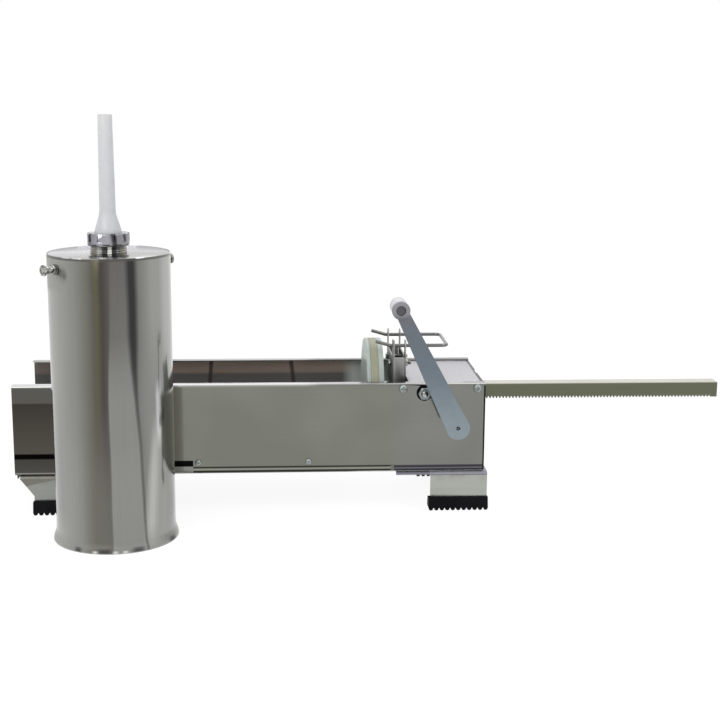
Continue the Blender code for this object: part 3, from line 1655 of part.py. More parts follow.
def build_cylinder(bench):
    """The cylinder, its closed end, the threaded neck and the two bobbin pins."""
    stand = make_empty("cylinder_axis", bench, (CYLINDER_STAND_X, CYLINDER_STAND_Y, 0))
    centre = (0, 0, 0)
    growth = FLARE_RADIUS - CYLINDER_RADIUS
    outer = [(CYLINDER_RADIUS, CYLINDER_HEIGHT)]
    inner = []
    for step in range(FLARE_STEPS + 1):
        share = step / FLARE_STEPS
        height = FLARE_LENGTH * (1 - share)
        widened = growth * flare_share(share)
        outer.append((CYLINDER_RADIUS + widened, height))
        inner.append((CYLINDER_BORE + widened, height))
    inner.reverse()
    profile = outer + inner + [(CYLINDER_BORE, CYLINDER_HEIGHT)]
    turned("cylinder_tube", stand, profile, "Z", centre, LARGE_STEPS, "polished_steel")

    plate_top = CYLINDER_HEIGHT - END_PLATE_RECESS
    plate_low = plate_top - END_PLATE_THICKNESS
    ring(
        "cylinder_end_plate",
        stand,
        CYLINDER_BORE - FIT_GAP,
        NECK_BORE,
        plate_low,
        plate_top,
        "Z",
        centre,
        LARGE_STEPS,
        "polished_steel",
    )
    neck_low = plate_top + FIT_GAP
    neck_top = neck_low + NECK_HEIGHT
    ring(
        "threaded_neck",
        stand,
        NECK_RADIUS,
        NECK_BORE,
        neck_low,
        neck_top,
        "Z",
        centre,
        OUTLET_STEPS,
        "chrome",
    )

    collar_start = CYLINDER_RADIUS + FIT_GAP
    neck_start = collar_start + PIN_COLLAR_LENGTH
    head_start = neck_start + PIN_NECK_LENGTH
    head_end = head_start + PIN_HEAD_LENGTH
    pin_profile = [
        (0, head_end),
        (PIN_HEAD_RADIUS - PIN_EDGE, head_end),
        (PIN_HEAD_RADIUS, head_end - PIN_EDGE),
        (PIN_HEAD_RADIUS, head_start + PIN_EDGE),
        (PIN_HEAD_RADIUS - PIN_EDGE, head_start),
        (PIN_NECK_RADIUS, head_start),
        (PIN_NECK_RADIUS, neck_start),
        (PIN_COLLAR_RADIUS - PIN_EDGE, neck_start),
        (PIN_COLLAR_RADIUS, neck_start - PIN_EDGE),
        (PIN_COLLAR_RADIUS, collar_start),
        (0, collar_start),
    ]
    pin_height = CYLINDER_HEIGHT - PIN_DROP
    for side_name, azimuth in (("near", PIN_AZIMUTH), ("far", PIN_AZIMUTH + math.pi)):
        pin = turned(
            f"seat_pin_{side_name}",
            stand,
            pin_profile,
            "X",
            (0, 0, pin_height),
            SMALL_STEPS,
            "chrome",
            closed=False,
        )
        pin.rotation_euler = (0, math.pi / 2, azimuth)
    return stand, neck_top


def build_outlet(stand, neck_top):
    """Gasket and funnel, clamped on the neck by the castellated ring nut."""
    centre = (0, 0, 0)
    gasket_low = neck_top + FIT_GAP
    gasket_top = gasket_low + GASKET_THICKNESS
    ring(
        "funnel_gasket",
        stand,
        GASKET_RADIUS,
        NECK_BORE,
        gasket_low,
        gasket_top,
        "Z",
        centre,
        OUTLET_STEPS,
        "silicone",
    )
    nut_low = CYLINDER_HEIGHT + NUT_NECK_SHOW
    nut_top = nut_low + NUT_HEIGHT
    lip_low = nut_top - NUT_LIP
    flange_low = gasket_top + FIT_GAP
    flange_top = lip_low - FIT_GAP
    shoulder = nut_top + FUNNEL_CONE_HEIGHT
    tip = shoulder + FUNNEL_SPOUT_HEIGHT
    funnel_profile = [
        (FUNNEL_TIP_RADIUS, tip),
        (FUNNEL_SHOULDER_RADIUS, shoulder),
        (FUNNEL_BASE_RADIUS, nut_top),
        (FUNNEL_BASE_RADIUS, flange_top),
        (FUNNEL_FLANGE_RADIUS, flange_top),
        (FUNNEL_FLANGE_RADIUS, flange_low),
        (FUNNEL_BASE_RADIUS - FUNNEL_WALL, flange_low),
        (FUNNEL_BASE_RADIUS - FUNNEL_WALL, nut_top),
        (FUNNEL_SHOULDER_RADIUS - FUNNEL_WALL, shoulder),
        (FUNNEL_TIP_RADIUS - FUNNEL_WALL, tip),
    ]
    turned("funnel", stand, funnel_profile, "Z", centre, OUTLET_STEPS, "white_plastic")

    spin = make_empty("ring_nut_axis", stand, centre)
    nut_profile = [
        (NUT_RADIUS - NUT_EDGE, nut_top),
        (NUT_RADIUS, nut_top - NUT_EDGE),
        (NUT_RADIUS, nut_low + NUT_EDGE),
        (NUT_RADIUS - NUT_EDGE, nut_low),
        (NECK_RADIUS + FIT_GAP, nut_low),
        (NECK_RADIUS + FIT_GAP, lip_low),
        (FUNNEL_BASE_RADIUS + FIT_GAP, lip_low),
        (FUNNEL_BASE_RADIUS + FIT_GAP, nut_top),
    ]
    nut = turned("ring_nut", spin, nut_profile, "Z", centre, OUTLET_STEPS, "chrome")
    for index in range(NUT_NOTCH_COUNT):
        notch = block(
            f"nut_notch_{index}",
            spin,
            (
                NUT_RADIUS - NUT_NOTCH_DEPTH,
                -NUT_NOTCH_WIDTH / 2,
                nut_top - NUT_NOTCH_HEIGHT,
            ),
            (NUT_RADIUS + CUT_OVERRUN, NUT_NOTCH_WIDTH / 2, nut_top + CUT_OVERRUN),
        )
        angle = 2 * math.pi * index / NUT_NOTCH_COUNT
        reach = notch.location.x
        notch.location = (
            reach * math.cos(angle),
            reach * math.sin(angle),
            notch.location.z,
        )
        notch.rotation_euler = (0, 0, angle)
        cut(nut, notch)


def build_stuffer():
    bench = make_empty("bench", None, (-CENTRE_X, -CENTRE_Y, 0))
    build_trough(bench)
    build_legs(bench)
    build_feet(bench)
    build_leg_rivets(bench)
    build_cradles(bench)
    build_gearbox_plates(bench)
    build_lid(bench)
    build_side_screws(bench)
    build_hold_down(bench)
    build_bushes(bench)
    build_latch_bracket(bench)
    build_latch_bolts(bench)
    build_latch_wire(bench)
    carriage = build_rack(bench)
    build_piston(carriage)
    build_crank(bench)
    stand, neck_top = build_cylinder(bench)
    build_outlet(stand, neck_top)
    finish_parts()


build_stuffer()
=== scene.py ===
"""Looks of the horizontal sausage stuffer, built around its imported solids.

Everything is in metres in the frame of the solids: X along the trough towards the rack's end,
Y away from the crank's side, Z up from the table.
"""
import json
import math

import bmesh
import bpy
from mathutils import Matrix, Vector


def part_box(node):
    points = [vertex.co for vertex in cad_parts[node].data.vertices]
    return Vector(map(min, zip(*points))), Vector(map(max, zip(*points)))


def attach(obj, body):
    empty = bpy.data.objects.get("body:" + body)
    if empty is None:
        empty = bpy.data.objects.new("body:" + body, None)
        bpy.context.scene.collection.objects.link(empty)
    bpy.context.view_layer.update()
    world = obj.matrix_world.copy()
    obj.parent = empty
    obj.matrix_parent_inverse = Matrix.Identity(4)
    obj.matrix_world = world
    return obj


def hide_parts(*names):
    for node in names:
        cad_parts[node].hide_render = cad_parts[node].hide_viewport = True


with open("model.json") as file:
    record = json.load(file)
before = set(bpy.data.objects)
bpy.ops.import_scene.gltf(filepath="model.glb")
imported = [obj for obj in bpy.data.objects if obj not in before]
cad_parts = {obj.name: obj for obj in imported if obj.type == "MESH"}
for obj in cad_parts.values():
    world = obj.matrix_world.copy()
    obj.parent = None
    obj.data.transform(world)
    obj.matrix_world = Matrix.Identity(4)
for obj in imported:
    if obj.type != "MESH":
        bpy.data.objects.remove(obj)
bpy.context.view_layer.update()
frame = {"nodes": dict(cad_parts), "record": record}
NODES = frame["nodes"]
Socket = bpy.types.NodeSocket

# Sizes of the real pieces that the finer shapes share
TUBE_RADIUS = 0.070
TUBE_WALL = 0.001
FLARE_LENGTH = 0.015
OUTLET_BORE = 0.015
SHEET = 0.0015
SCREW_HOLE = 0.0023
BOLT_HOLE = 0.0043
BUSH_HOLE = 0.0097

# How far out a hexagon's flats lie, as a share of its corners' reach
HEX_FLAT = math.cos(math.pi / 6)

# How near two points merge, how far a cutter reaches past what it cuts, and the facets of
# small round pieces
MERGE = 0.00001
PAST = 0.003
ROUND_STEPS = 48

ENDS = ("front", "rear")
SIDES = ("near", "far")

TROUGH_LOW, TROUGH_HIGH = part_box("trough")
TUBE_LOW, TUBE_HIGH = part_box("cylinder_tube")
REAR_LEG_LOW, REAR_LEG_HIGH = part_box("rear_leg")
TUBE_CENTRE = Vector(
    ((TUBE_LOW.x + TUBE_HIGH.x) / 2, (TUBE_LOW.y + TUBE_HIGH.y) / 2, 0)
)

# Turns that lay a shape's own Z axis along one of the frame's axes
TURNS = {
    "X": Matrix.Rotation(math.pi / 2, 4, "Y"),
    "Y": Matrix.Rotation(-math.pi / 2, 4, "X"),
    "-Y": Matrix.Rotation(math.pi / 2, 4, "X"),
    "Z": Matrix.Identity(4),
}


def middle(node):
    low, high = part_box(node)
    return (low + high) / 2


def placed(mesh, axis, centre):
    """Turn a mesh's Z axis along axis and move it to centre, in its own points."""
    mesh.transform(Matrix.Translation(centre) @ TURNS[axis])
    return mesh


def evenly(start, stop, count):
    """The values at both ends of a span and between its count equal steps."""
    return [start + (stop - start) * step / count for step in range(count + 1)]


def arc(centre, radius, start, end, steps):
    return [
        (centre[0] + radius * math.cos(angle), centre[1] + radius * math.sin(angle))
        for angle in evenly(start, end, steps)
    ]


def circle(centre, radius):
    return arc(centre, radius, 0, 2 * math.pi * (1 - 1 / ROUND_STEPS), ROUND_STEPS - 1)


def rounded(corners, radii, steps=5, closed=True):
    """An outline whose corners are turned by arcs of the given radii."""
    count = len(corners)
    points = []
    for index, place in enumerate(corners):
        radius = radii[index] if isinstance(radii, (list, tuple)) else radii
        if not radius or (not closed and index in (0, count - 1)):
            points.append(tuple(place))
            continue
        corner = Vector(place)
        back = (Vector(corners[index - 1]) - corner).normalized()
        ahead = (Vector(corners[(index + 1) % count]) - corner).normalized()
        half = back.angle(ahead) / 2
        centre = corner + (back + ahead).normalized() * (radius / math.sin(half))
        arm = corner + back * (radius / math.tan(half)) - centre
        sweep = math.pi - 2 * half
        turn = -math.copysign(sweep, back.x * ahead.y - back.y * ahead.x)
        start = math.atan2(arm.y, arm.x)
        points += arc(centre, arm.length, start, start + turn, steps)
    return points


def outward(mesh):
    """Merge what coincides and point every face out of the shape."""
    shape = bmesh.new()
    shape.from_mesh(mesh)
    bmesh.ops.remove_doubles(shape, verts=shape.verts, dist=MERGE / 4)
    bmesh.ops.recalc_face_normals(shape, faces=shape.faces)
    shape.to_mesh(mesh)
    shape.free()
    return mesh


def lathe(name, profile, steps, closed=True, wobble=None):
    """Turn a (radius, height) outline about Z. An open outline starts and ends on the axis."""
    vertices, faces, rings = [], [], []
    for radius, height in profile:
        if radius < MERGE:
            rings.append([len(vertices)])
            vertices.append((0, 0, height))
            continue
        rings.append(range(len(vertices), len(vertices) + steps))
        for step in range(steps):
            angle = 2 * math.pi * step / steps
            reach = radius if wobble is None else wobble(radius, height, angle)
            vertices.append((reach * math.cos(angle), reach * math.sin(angle), height))
    pairs = list(zip(rings, rings[1:]))
    if closed:
        pairs.append((rings[-1], rings[0]))
    for first, second in pairs:
        for step in range(steps):
            ahead = (step + 1) % steps
            loop = [
                first[step % len(first)],
                second[step % len(second)],
                second[ahead % len(second)],
                first[ahead % len(first)],
            ]
            loop = list(dict.fromkeys(loop))
            if len(loop) > 2:
                faces.append(loop)
    mesh = bpy.data.meshes.new(name)
    mesh.from_pydata(vertices, [], faces)
    return outward(mesh)


def thread(radius, pitch, depth, fade=lambda height: 1):
    """Lathe's wobble for a threaded bar: where its flank lies at a height and angle."""

    def flank(reach, height, angle):
        if reach < radius:
            return reach
        turn = (height / pitch - angle / (2 * math.pi)) % 1
        return reach - depth * fade(height) * abs(2 * turn - 1)

    return flank


def scratch_object(name, data):
    obj = bpy.data.objects.new(name, data)
    bpy.context.scene.collection.objects.link(obj)
    return obj


def evaluated(obj):
    """The object's final shape as a plain mesh. The helper object is then removed."""
    bpy.context.view_layer.update()
    graph = bpy.context.evaluated_depsgraph_get()
    mesh = bpy.data.meshes.new_from_object(obj.evaluated_get(graph), depsgraph=graph)
    mesh.materials.clear()
    bpy.data.objects.remove(obj)
    return mesh


def plate(name, outline, holes, thickness, edge):
    """A flat outline with holes, its rims rounded by edge, standing on both sides of Z = 0."""
    curve = bpy.data.curves.new(name, "CURVE")
    curve.dimensions = "2D"
    curve.fill_mode = "BOTH"
    curve.extrude = thickness / 2 - edge
    curve.bevel_depth = edge
    curve.bevel_resolution = 2
    curve.offset = -edge
    for loop in [outline, *holes]:
        spline = curve.splines.new("POLY")
        spline.points.add(len(loop) - 1)
        for point, (across, up) in zip(spline.points, loop):
            point.co = (across, up, 0, 1)
        spline.use_cyclic_u = True
    mesh = evaluated(scratch_object(name, curve))
    bpy.data.curves.remove(curve)
    return outward(mesh)


def modified(mesh, kind, **settings):
    """Run one modifier on a mesh, which the result replaces."""
    name = mesh.name
    obj = scratch_object(name, mesh)
    change = obj.modifiers.new(kind.lower(), kind)
    for key, value in settings.items():
        setattr(change, key, value)
    result = evaluated(obj)
    bpy.data.meshes.remove(mesh)
    result.name = name
    return result


def carved(mesh, cutters, operation="DIFFERENCE"):
    """Take the cutters' meshes out of a mesh, or keep only what lies in them."""
    for cutter in cutters:
        helper = scratch_object("cutter", cutter)
        mesh = modified(mesh, "BOOLEAN", operation=operation, object=helper, solver="EXACT")
        bpy.data.objects.remove(helper)
    return mesh


def bevelled(mesh, width, segments, angle):
    """Break every edge that is sharper than angle degrees."""
    return modified(
        mesh, "BEVEL", width=width, segments=segments, limit_method="ANGLE",
        angle_limit=math.radians(angle), harden_normals=True, use_clamp_overlap=True,
    )


def brick(low, high):
    mesh = bpy.data.meshes.new("brick")
    shape = bmesh.new()
    bmesh.ops.create_cube(shape, size=1)
    low, high = Vector(low), Vector(high)
    bmesh.ops.scale(shape, vec=high - low, verts=shape.verts)
    bmesh.ops.translate(shape, vec=(high + low) / 2, verts=shape.verts)
    shape.to_mesh(mesh)
    shape.free()
    return mesh


def joined(name, meshes):
    shape = bmesh.new()
    for mesh in meshes:
        shape.from_mesh(mesh)
    whole = bpy.data.meshes.new(name)
    shape.to_mesh(whole)
    shape.free()
    return whole


def copy_of(node):
    """A solid's mesh with its loose triangles merged into whole faces."""
    mesh = NODES[node].data.copy()
    shape = bmesh.new()
    shape.from_mesh(mesh)
    bmesh.ops.remove_doubles(shape, verts=shape.verts, dist=MERGE)
    bmesh.ops.dissolve_limit(
        shape, angle_limit=math.radians(0.5), verts=shape.verts, edges=shape.edges
    )
    shape.to_mesh(mesh)
    shape.free()
    return mesh


def piece(name, mesh, body, finish, *nodes, smooth=35):
    """Dress the object with a finished mesh that stands for the given solids."""
    mesh.name = name
    mesh.materials.clear()
    mesh.materials.append(FINISHES[finish][0])
    mesh.shade_smooth()
    mesh.set_sharp_from_angle(angle=math.radians(smooth))
    obj = scratch_object(name, mesh)
    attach(obj, body)
    if nodes:
        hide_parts(*nodes)


# Node building: all but add work in the tree of the socket that they are given


def feed(socket, value):
    """Link a value into a socket, or set the socket where the value is a plain one."""
    if isinstance(value, Socket):
        socket.id_data.links.new(value, socket)
    elif socket.type == "RGBA":
        socket.default_value = (*value, 1)
    else:
        socket.default_value = value


def add(tree, kind, settings=(), **inputs):
    """A node of the tree's own kind with settings, its inputs linked or set by name."""
    family = "" if "Node" in kind else tree.bl_idname.removesuffix("Tree")
    node = tree.nodes.new(family + kind)
    for key, value in dict(settings).items():
        setattr(node, key, value)
    for label, value in inputs.items():
        feed(node.inputs[label.replace("_", " ")], value)
    return node


def calc(operation, *values, kind="Math"):
    """What a Math or VectorMath node makes of its values, of which one is a socket."""
    tree = next(value.id_data for value in values if isinstance(value, Socket))
    node = add(tree, "ShaderNode" + kind, {"operation": operation})
    for socket, value in zip(node.inputs, values):
        feed(socket, value)
    return node.outputs[0]


def times(first, *others):
    for other in others:
        first = calc("MULTIPLY", first, other)
    return first


def map_range(value, low, high, start=0, end=1):
    """Low where the value is at start or before it, high at end or past it."""
    node = add(value.id_data, "MapRange", Value=value, From_Min=start, From_Max=end)
    feed(node.inputs["To Min"], low)
    feed(node.inputs["To Max"], high)
    return node.outputs["Result"]


def rising(value, start, end):
    return map_range(value, 0, 1, start, end)


def falling(value, start, end):
    return map_range(value, 1, 0, start, end)


def between(value, low, high, soft):
    """1 between low and high, falling to 0 over soft on both sides."""
    return times(rising(value, low - soft, low), falling(value, high, high + soft))


def noise(place, scale, detail, **more):
    node = add(place.id_data, "TexNoise", Vector=place, Scale=scale, Detail=detail, **more)
    return node.outputs[0]


def toned(colour, tone):
    """A colour scaled by a value that changes over the surface."""
    scaled = {"operation": "SCALE"}
    return add(tone.id_data, "VectorMath", scaled, Vector=colour, Scale=tone).outputs[0]


def blend(share, first, second):
    """A colour that goes from first to second as share goes from 0 to 1."""
    node = add(share.id_data, "Mix", {"data_type": "RGBA"})
    for index, value in ((0, share), (6, first), (7, second)):
        feed(node.inputs[index], value)
    return node.outputs[2]


def ramp(value, stops):
    """A colour ramp through (position, colour or grey) stops. Greys lean to warm."""
    node = add(value.id_data, "ValToRGB", Fac=value)
    band = node.color_ramp
    while len(band.elements) > 1:
        band.elements.remove(band.elements[-1])
    for index, (place, colour) in enumerate(stops):
        if not isinstance(colour, tuple):
            colour = (colour, colour, colour * 0.94)
        element = band.elements[0] if index == 0 else band.elements.new(place)
        element.position = place
        element.color = (*colour, 1)
    return node.outputs["Color"]


def axes(place, centre=(0, 0, 0)):
    """The three coordinates measured from a centre."""
    moved = add(place.id_data, "Mapping", Vector=place, Location=-Vector(centre))
    split = add(place.id_data, "SeparateXYZ", Vector=moved.outputs[0])
    return split.outputs["X"], split.outputs["Y"], split.outputs["Z"]


def around(x, y):
    """Degrees round the standing tube's axis, from the side away from the trough towards +X."""
    return calc("DEGREES", calc("ARCTAN2", x, times(y, -1)))


# Shader groups that several finishes share


def shader_group(name, inputs, outputs):
    """A group with inputs by name and first value, and outputs by name and kind."""
    tree = bpy.data.node_groups.new(name, "ShaderNodeTree")
    for label, (kind, value) in inputs.items():
        socket = tree.interface.new_socket(
            label, in_out="INPUT", socket_type="NodeSocket" + kind
        )
        socket.default_value = value
    for label, kind in outputs.items():
        tree.interface.new_socket(label, in_out="OUTPUT", socket_type="NodeSocket" + kind)
    return tree, add(tree, "NodeGroupInput").outputs, add(tree, "NodeGroupOutput").inputs


def make_grain():
    """Drawn or brushed lines: noise stretched along the sheet's rolling direction."""
    tree, given, result = shader_group(
        "drawn_grain",
        {"Vector": ("Vector", (0, 0, 0)), "Stretch": ("Vector", (1, 1, 1)),
         "Contrast": ("Float", 0.1)},
        {"Tone": "Float", "Height": "Float"},
    )
    drawn = add(tree, "Mapping", Vector=given["Vector"], Scale=given["Stretch"])
    lines = noise(drawn.outputs[0], 1, 3)
    spread = calc("SUBTRACT", lines, 0.5)
    feed(result["Tone"], calc("MULTIPLY_ADD", spread, given["Contrast"], 1))
    feed(result["Height"], lines)
    return tree


def make_handling():
    """Soft smudges left by hands and cloths, which change how sharp the gloss is."""
    tree, given, result = shader_group(
        "handling_marks",
        {"Vector": ("Vector", (0, 0, 0)), "Scale": ("Float", 20), "Clean": ("Float", 0.1),
         "Smudged": ("Float", 0.3)},
        {"Roughness": "Float"},
    )
    wiped = noise(given["Vector"], given["Scale"], 5, Roughness=0.6, Distortion=0.4)
    mask = rising(wiped, 0.42, 0.72)
    feed(result["Roughness"], map_range(mask, given["Clean"], given["Smudged"]))
    return tree


def make_mottle():
    """Slow drift of a colour between two tones, as moulded faces have."""
    tree, given, result = shader_group(
        "mottled_tone",
        {"Vector": ("Vector", (0, 0, 0)), "Scale": ("Float", 60),
         "Light": ("Color", (1, 1, 1, 1)), "Dark": ("Color", (0, 0, 0, 1))},
        {"Color": "Color"},
    )
    share = rising(noise(given["Vector"], given["Scale"], 6, Roughness=0.65), 0.3, 0.7)
    feed(result["Color"], blend(share, given["Dark"], given["Light"]))
    return tree


GRAIN = make_grain()
HANDLING = make_handling()
MOTTLE = make_mottle()


def use_group(group, place, **inputs):
    """Place a group on the object's own coordinates with this finish's values."""
    return add(place.id_data, "Group", {"node_tree": group}, Vector=place, **inputs).outputs


def relief(shader, height, strength, distance):
    bump = add(
        shader.id_data, "Bump", Height=height, Strength=strength, Distance=distance
    )
    feed(shader.inputs["Normal"], bump.outputs["Normal"])


def start_material(name, metallic):
    material = bpy.data.materials.new(name)
    material.use_nodes = True
    shader = material.node_tree.nodes["Principled BSDF"]
    shader.inputs["Metallic"].default_value = metallic
    return material, shader, add(material.node_tree, "TexCoord").outputs["Object"]


class Steel:
    """Sheet, bar or plating in the making, with drawn grain and soft handling marks."""

    def __init__(self, name, stretch, contrast, clean, smudged, marks=18):
        self.material, self.shader, self.place = start_material(name, 1)
        grain = use_group(GRAIN, self.place, Stretch=stretch, Contrast=contrast)
        wiped = use_group(
            HANDLING, self.place, Scale=marks, Clean=clean, Smudged=smudged
        )
        self.grain, self.roughness = grain["Tone"], wiped["Roughness"]
        relief(self.shader, grain["Height"], 0.15, 0.00002)

    def finished(self, tone, duller=None, metallic=None):
        """The material in its tone, duller and less metallic where these say so."""
        rough = self.roughness if duller is None else calc("ADD", self.roughness, duller)
        feed(self.shader.inputs["Base Color"], toned(tone, self.grain))
        feed(self.shader.inputs["Roughness"], rough)
        if metallic is not None:
            feed(self.shader.inputs["Metallic"], metallic)
        return self.material


def outer_wall(sheet, x, y, z):
    """The walls' outer tone, with painted reflections: dark and light lines along the lower fold,
    in darker violet tones over the rear leg, a black bar and a paler area below it near the
    cylinder's foot, painted shade along the rear edge, and dark reflections over the near wall's
    front end."""
    base, front = TROUGH_LOW.z, TROUGH_LOW.x
    drift = rising(noise(sheet.place, 6, 2), 0.4, 0.62)
    rolled = blend(drift, (0.182, 0.184, 0.168), (0.216, 0.219, 0.201))
    level = rising(z, base, base + 0.020)
    # Painted reflections of the bend: dark and light lines along the lower fold
    fold = ramp(
        level,
        [(0.0, 0.9), (0.28, 0.9), (0.33, 0.12), (0.44, 0.14), (0.49, 1.45), (0.58, 1.2),
         (0.62, 0.15), (0.69, 0.2), (0.73, 1.0), (1.0, 1.0)],
    )
    # The same painted lines in darker violet tones, over the rear leg
    rear_fold_reflection = ramp(
        level,
        [(0.0, (0.9, 0.9, 0.9)), (0.30, (0.9, 0.9, 0.9)), (0.345, (0.22, 0.20, 0.26)),
         (0.45, (0.25, 0.23, 0.30)), (0.475, (0.8, 0.78, 0.9)), (0.52, (0.7, 0.68, 0.8)),
         (0.55, (0.22, 0.20, 0.26)), (0.675, (0.28, 0.26, 0.33)), (0.71, (1, 1, 1)),
         (1.0, (1, 1, 1))],
    )
    # The painted lines fade out in front of the rear leg, where the violet ones take over
    fold_reflection_end = REAR_LEG_LOW.x - 0.0035
    fading = times(
        rising(x, fold_reflection_end - 0.005, fold_reflection_end - 0.002),
        falling(z, base + 0.0144, base + 0.0148),
    )
    fold = blend(fading, fold, (0.8, 0.8, 0.8))
    fold = blend(rising(x, fold_reflection_end, fold_reflection_end + 0.001), fold, rear_fold_reflection)
    tone = calc("MULTIPLY", rolled, fold, kind="VectorMath")

    near_face = falling(y, TROUGH_LOW.y + 0.0007, TROUGH_LOW.y + 0.0012)
    # Painted reflection near the cylinder's foot: a black bar, and a paler area below it
    start, end = front + 0.188, front + 0.2195
    bar_low, bar_high = 0.0606, 0.0678
    wall_reflection_area = times(between(x, start, end, 0.0006), near_face)
    below = times(wall_reflection_area, falling(z, bar_low - 0.0004, bar_low))
    bar = times(wall_reflection_area, between(z, bar_low, bar_high, 0.0004))
    tone = blend(below, tone, (0.22, 0.22, 0.205))
    tone = blend(bar, tone, (0.004, 0.004, 0.004))
    # Painted shade along the sheet's rear edge
    rear = TROUGH_HIGH.x
    tone = blend(rising(x, rear - 0.0026, rear - 0.0018), tone, (0.02, 0.02, 0.02))

    # Painted reflections: dark tones and a black band over the near wall's front end
    front_end_reflection = ramp(
        rising(z, base, TROUGH_HIGH.z),
        [(0.0, 0.26), (0.066, 0.26), (0.074, (0.070, 0.067, 0.060)),
         (0.21, (0.056, 0.053, 0.045)), (0.225, 0.002), (0.268, 0.002),
         (0.280, (0.078, 0.073, 0.062)), (0.55, (0.062, 0.057, 0.048)),
         (0.808, (0.045, 0.041, 0.034)), (0.818, (0.095, 0.092, 0.080)),
         (1.0, (0.095, 0.095, 0.088))],
    )
    front_end = falling(x, front + 0.060, front + 0.085)
    return blend(times(front_end, near_face), tone, front_end_reflection)


def inner_wall(x, z):
    """The walls' inner tone, painted light and shade: a lit brown band above, painted shade below
    and towards the front end, a painted pool of light beside the piston, and two dark painted
    reflections of the cradles' edges."""
    top, front = TROUGH_HIGH.z, TROUGH_LOW.x
    # Painted light: dark below, a brown band lit towards the top
    tone = ramp(
        rising(z, top - 0.040, top),
        [(0.0, (0.17, 0.162, 0.151)), (0.46, (0.155, 0.150, 0.147)),
         (0.56, (0.38, 0.30, 0.25)), (0.80, (0.48, 0.38, 0.32)),
         (0.96, (0.62, 0.52, 0.46)), (1.0, 0.3)],
    )
    # Painted shade towards the front end
    tone = toned(tone, map_range(x, 0.3, 1, front + 0.040, front + 0.150))
    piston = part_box("piston_front_disc")[0].x
    # A painted pool of light beside the piston
    tone = blend(rising(x, piston - 0.024, piston - 0.010), tone, (0.60, 0.63, 0.59))
    # Painted reflections: a dark line leaning over each cradle
    for node, corner, shift, slope in (
        ("cradle_front", 1, 0.0035, 0.07), ("cradle_rear", 0, -0.0122, -0.115)
    ):
        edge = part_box(node)[corner].x + shift - slope * (top - 0.012)
        leaned = calc("SUBTRACT", x, times(z, slope))
        line = times(between(leaned, edge - 0.0018, edge + 0.0018, 0.0015), 0.8)
        tone = blend(line, tone, (0.05, 0.035, 0.035))
    return tone


def painted_flange_light(x, y, z):
    """The flanges' painted light: pale on top, darker over the rear part and on the far flange's
    top.
    """
    top, front = TROUGH_HIGH.z, TROUGH_LOW.x
    tone = ramp(
        rising(z, top - 0.004, top),
        [(0.0, 0.24), (0.58, 0.30), (0.66, 0.44), (0.86, 0.50), (0.92, (0.66, 0.655, 0.68)),
         (1.0, (0.68, 0.67, 0.70))],
    )
    tone = toned(tone, map_range(x, 1, 0.62, front + 0.36, front + 0.38))
    far_top = times(
        rising(y, TROUGH_LOW.y + 0.03, TROUGH_HIGH.y - 0.03),
        rising(z, top - 0.0005, top - 0.0002),
    )
    return toned(tone, map_range(far_top, 1, 0.42))


def make_wall_steel():
    """The trough's bright-rolled sheet, duller on its inside."""
    sheet = Steel("wall_steel", (6, 200, 900), 0.10, 0.07, 0.16)
    x, y, z = axes(sheet.place)
    inside = between(y, TROUGH_LOW.y + 0.0012, TROUGH_HIGH.y - 0.0012, 0.0003)
    walls = blend(inside, outer_wall(sheet, x, y, z), inner_wall(x, z))
    rim = rising(z, TROUGH_HIGH.z - 0.0035, TROUGH_HIGH.z - 0.002)
    worn = times(inside, map_range(rim, 1, 0))
    return sheet.finished(
        blend(rim, walls, painted_flange_light(x, y, z)),
        duller=map_range(worn, 0, 0.28),
        metallic=map_range(worn, 1, 0.25),
    )


def painted_streak(angle, height, crisp, knots):
    """A bent painted reflection on the tube. Each knot: height, middle and half width in degrees,
    strength.
    """
    path = ramp(
        rising(height, 0, TUBE_HIGH.z),
        [(level / TUBE_HIGH.z, ((centre + 90) / 180, width / 90, strength))
         for level, centre, width, strength in knots],
    )
    centre, width, strength = add(path.id_data, "SeparateXYZ", Vector=path).outputs
    away = calc("ABSOLUTE", calc("SUBTRACT", angle, map_range(centre, -90, 90)))
    share = calc("DIVIDE", away, times(width, 90))
    return times(falling(share, crisp, 1), strength)


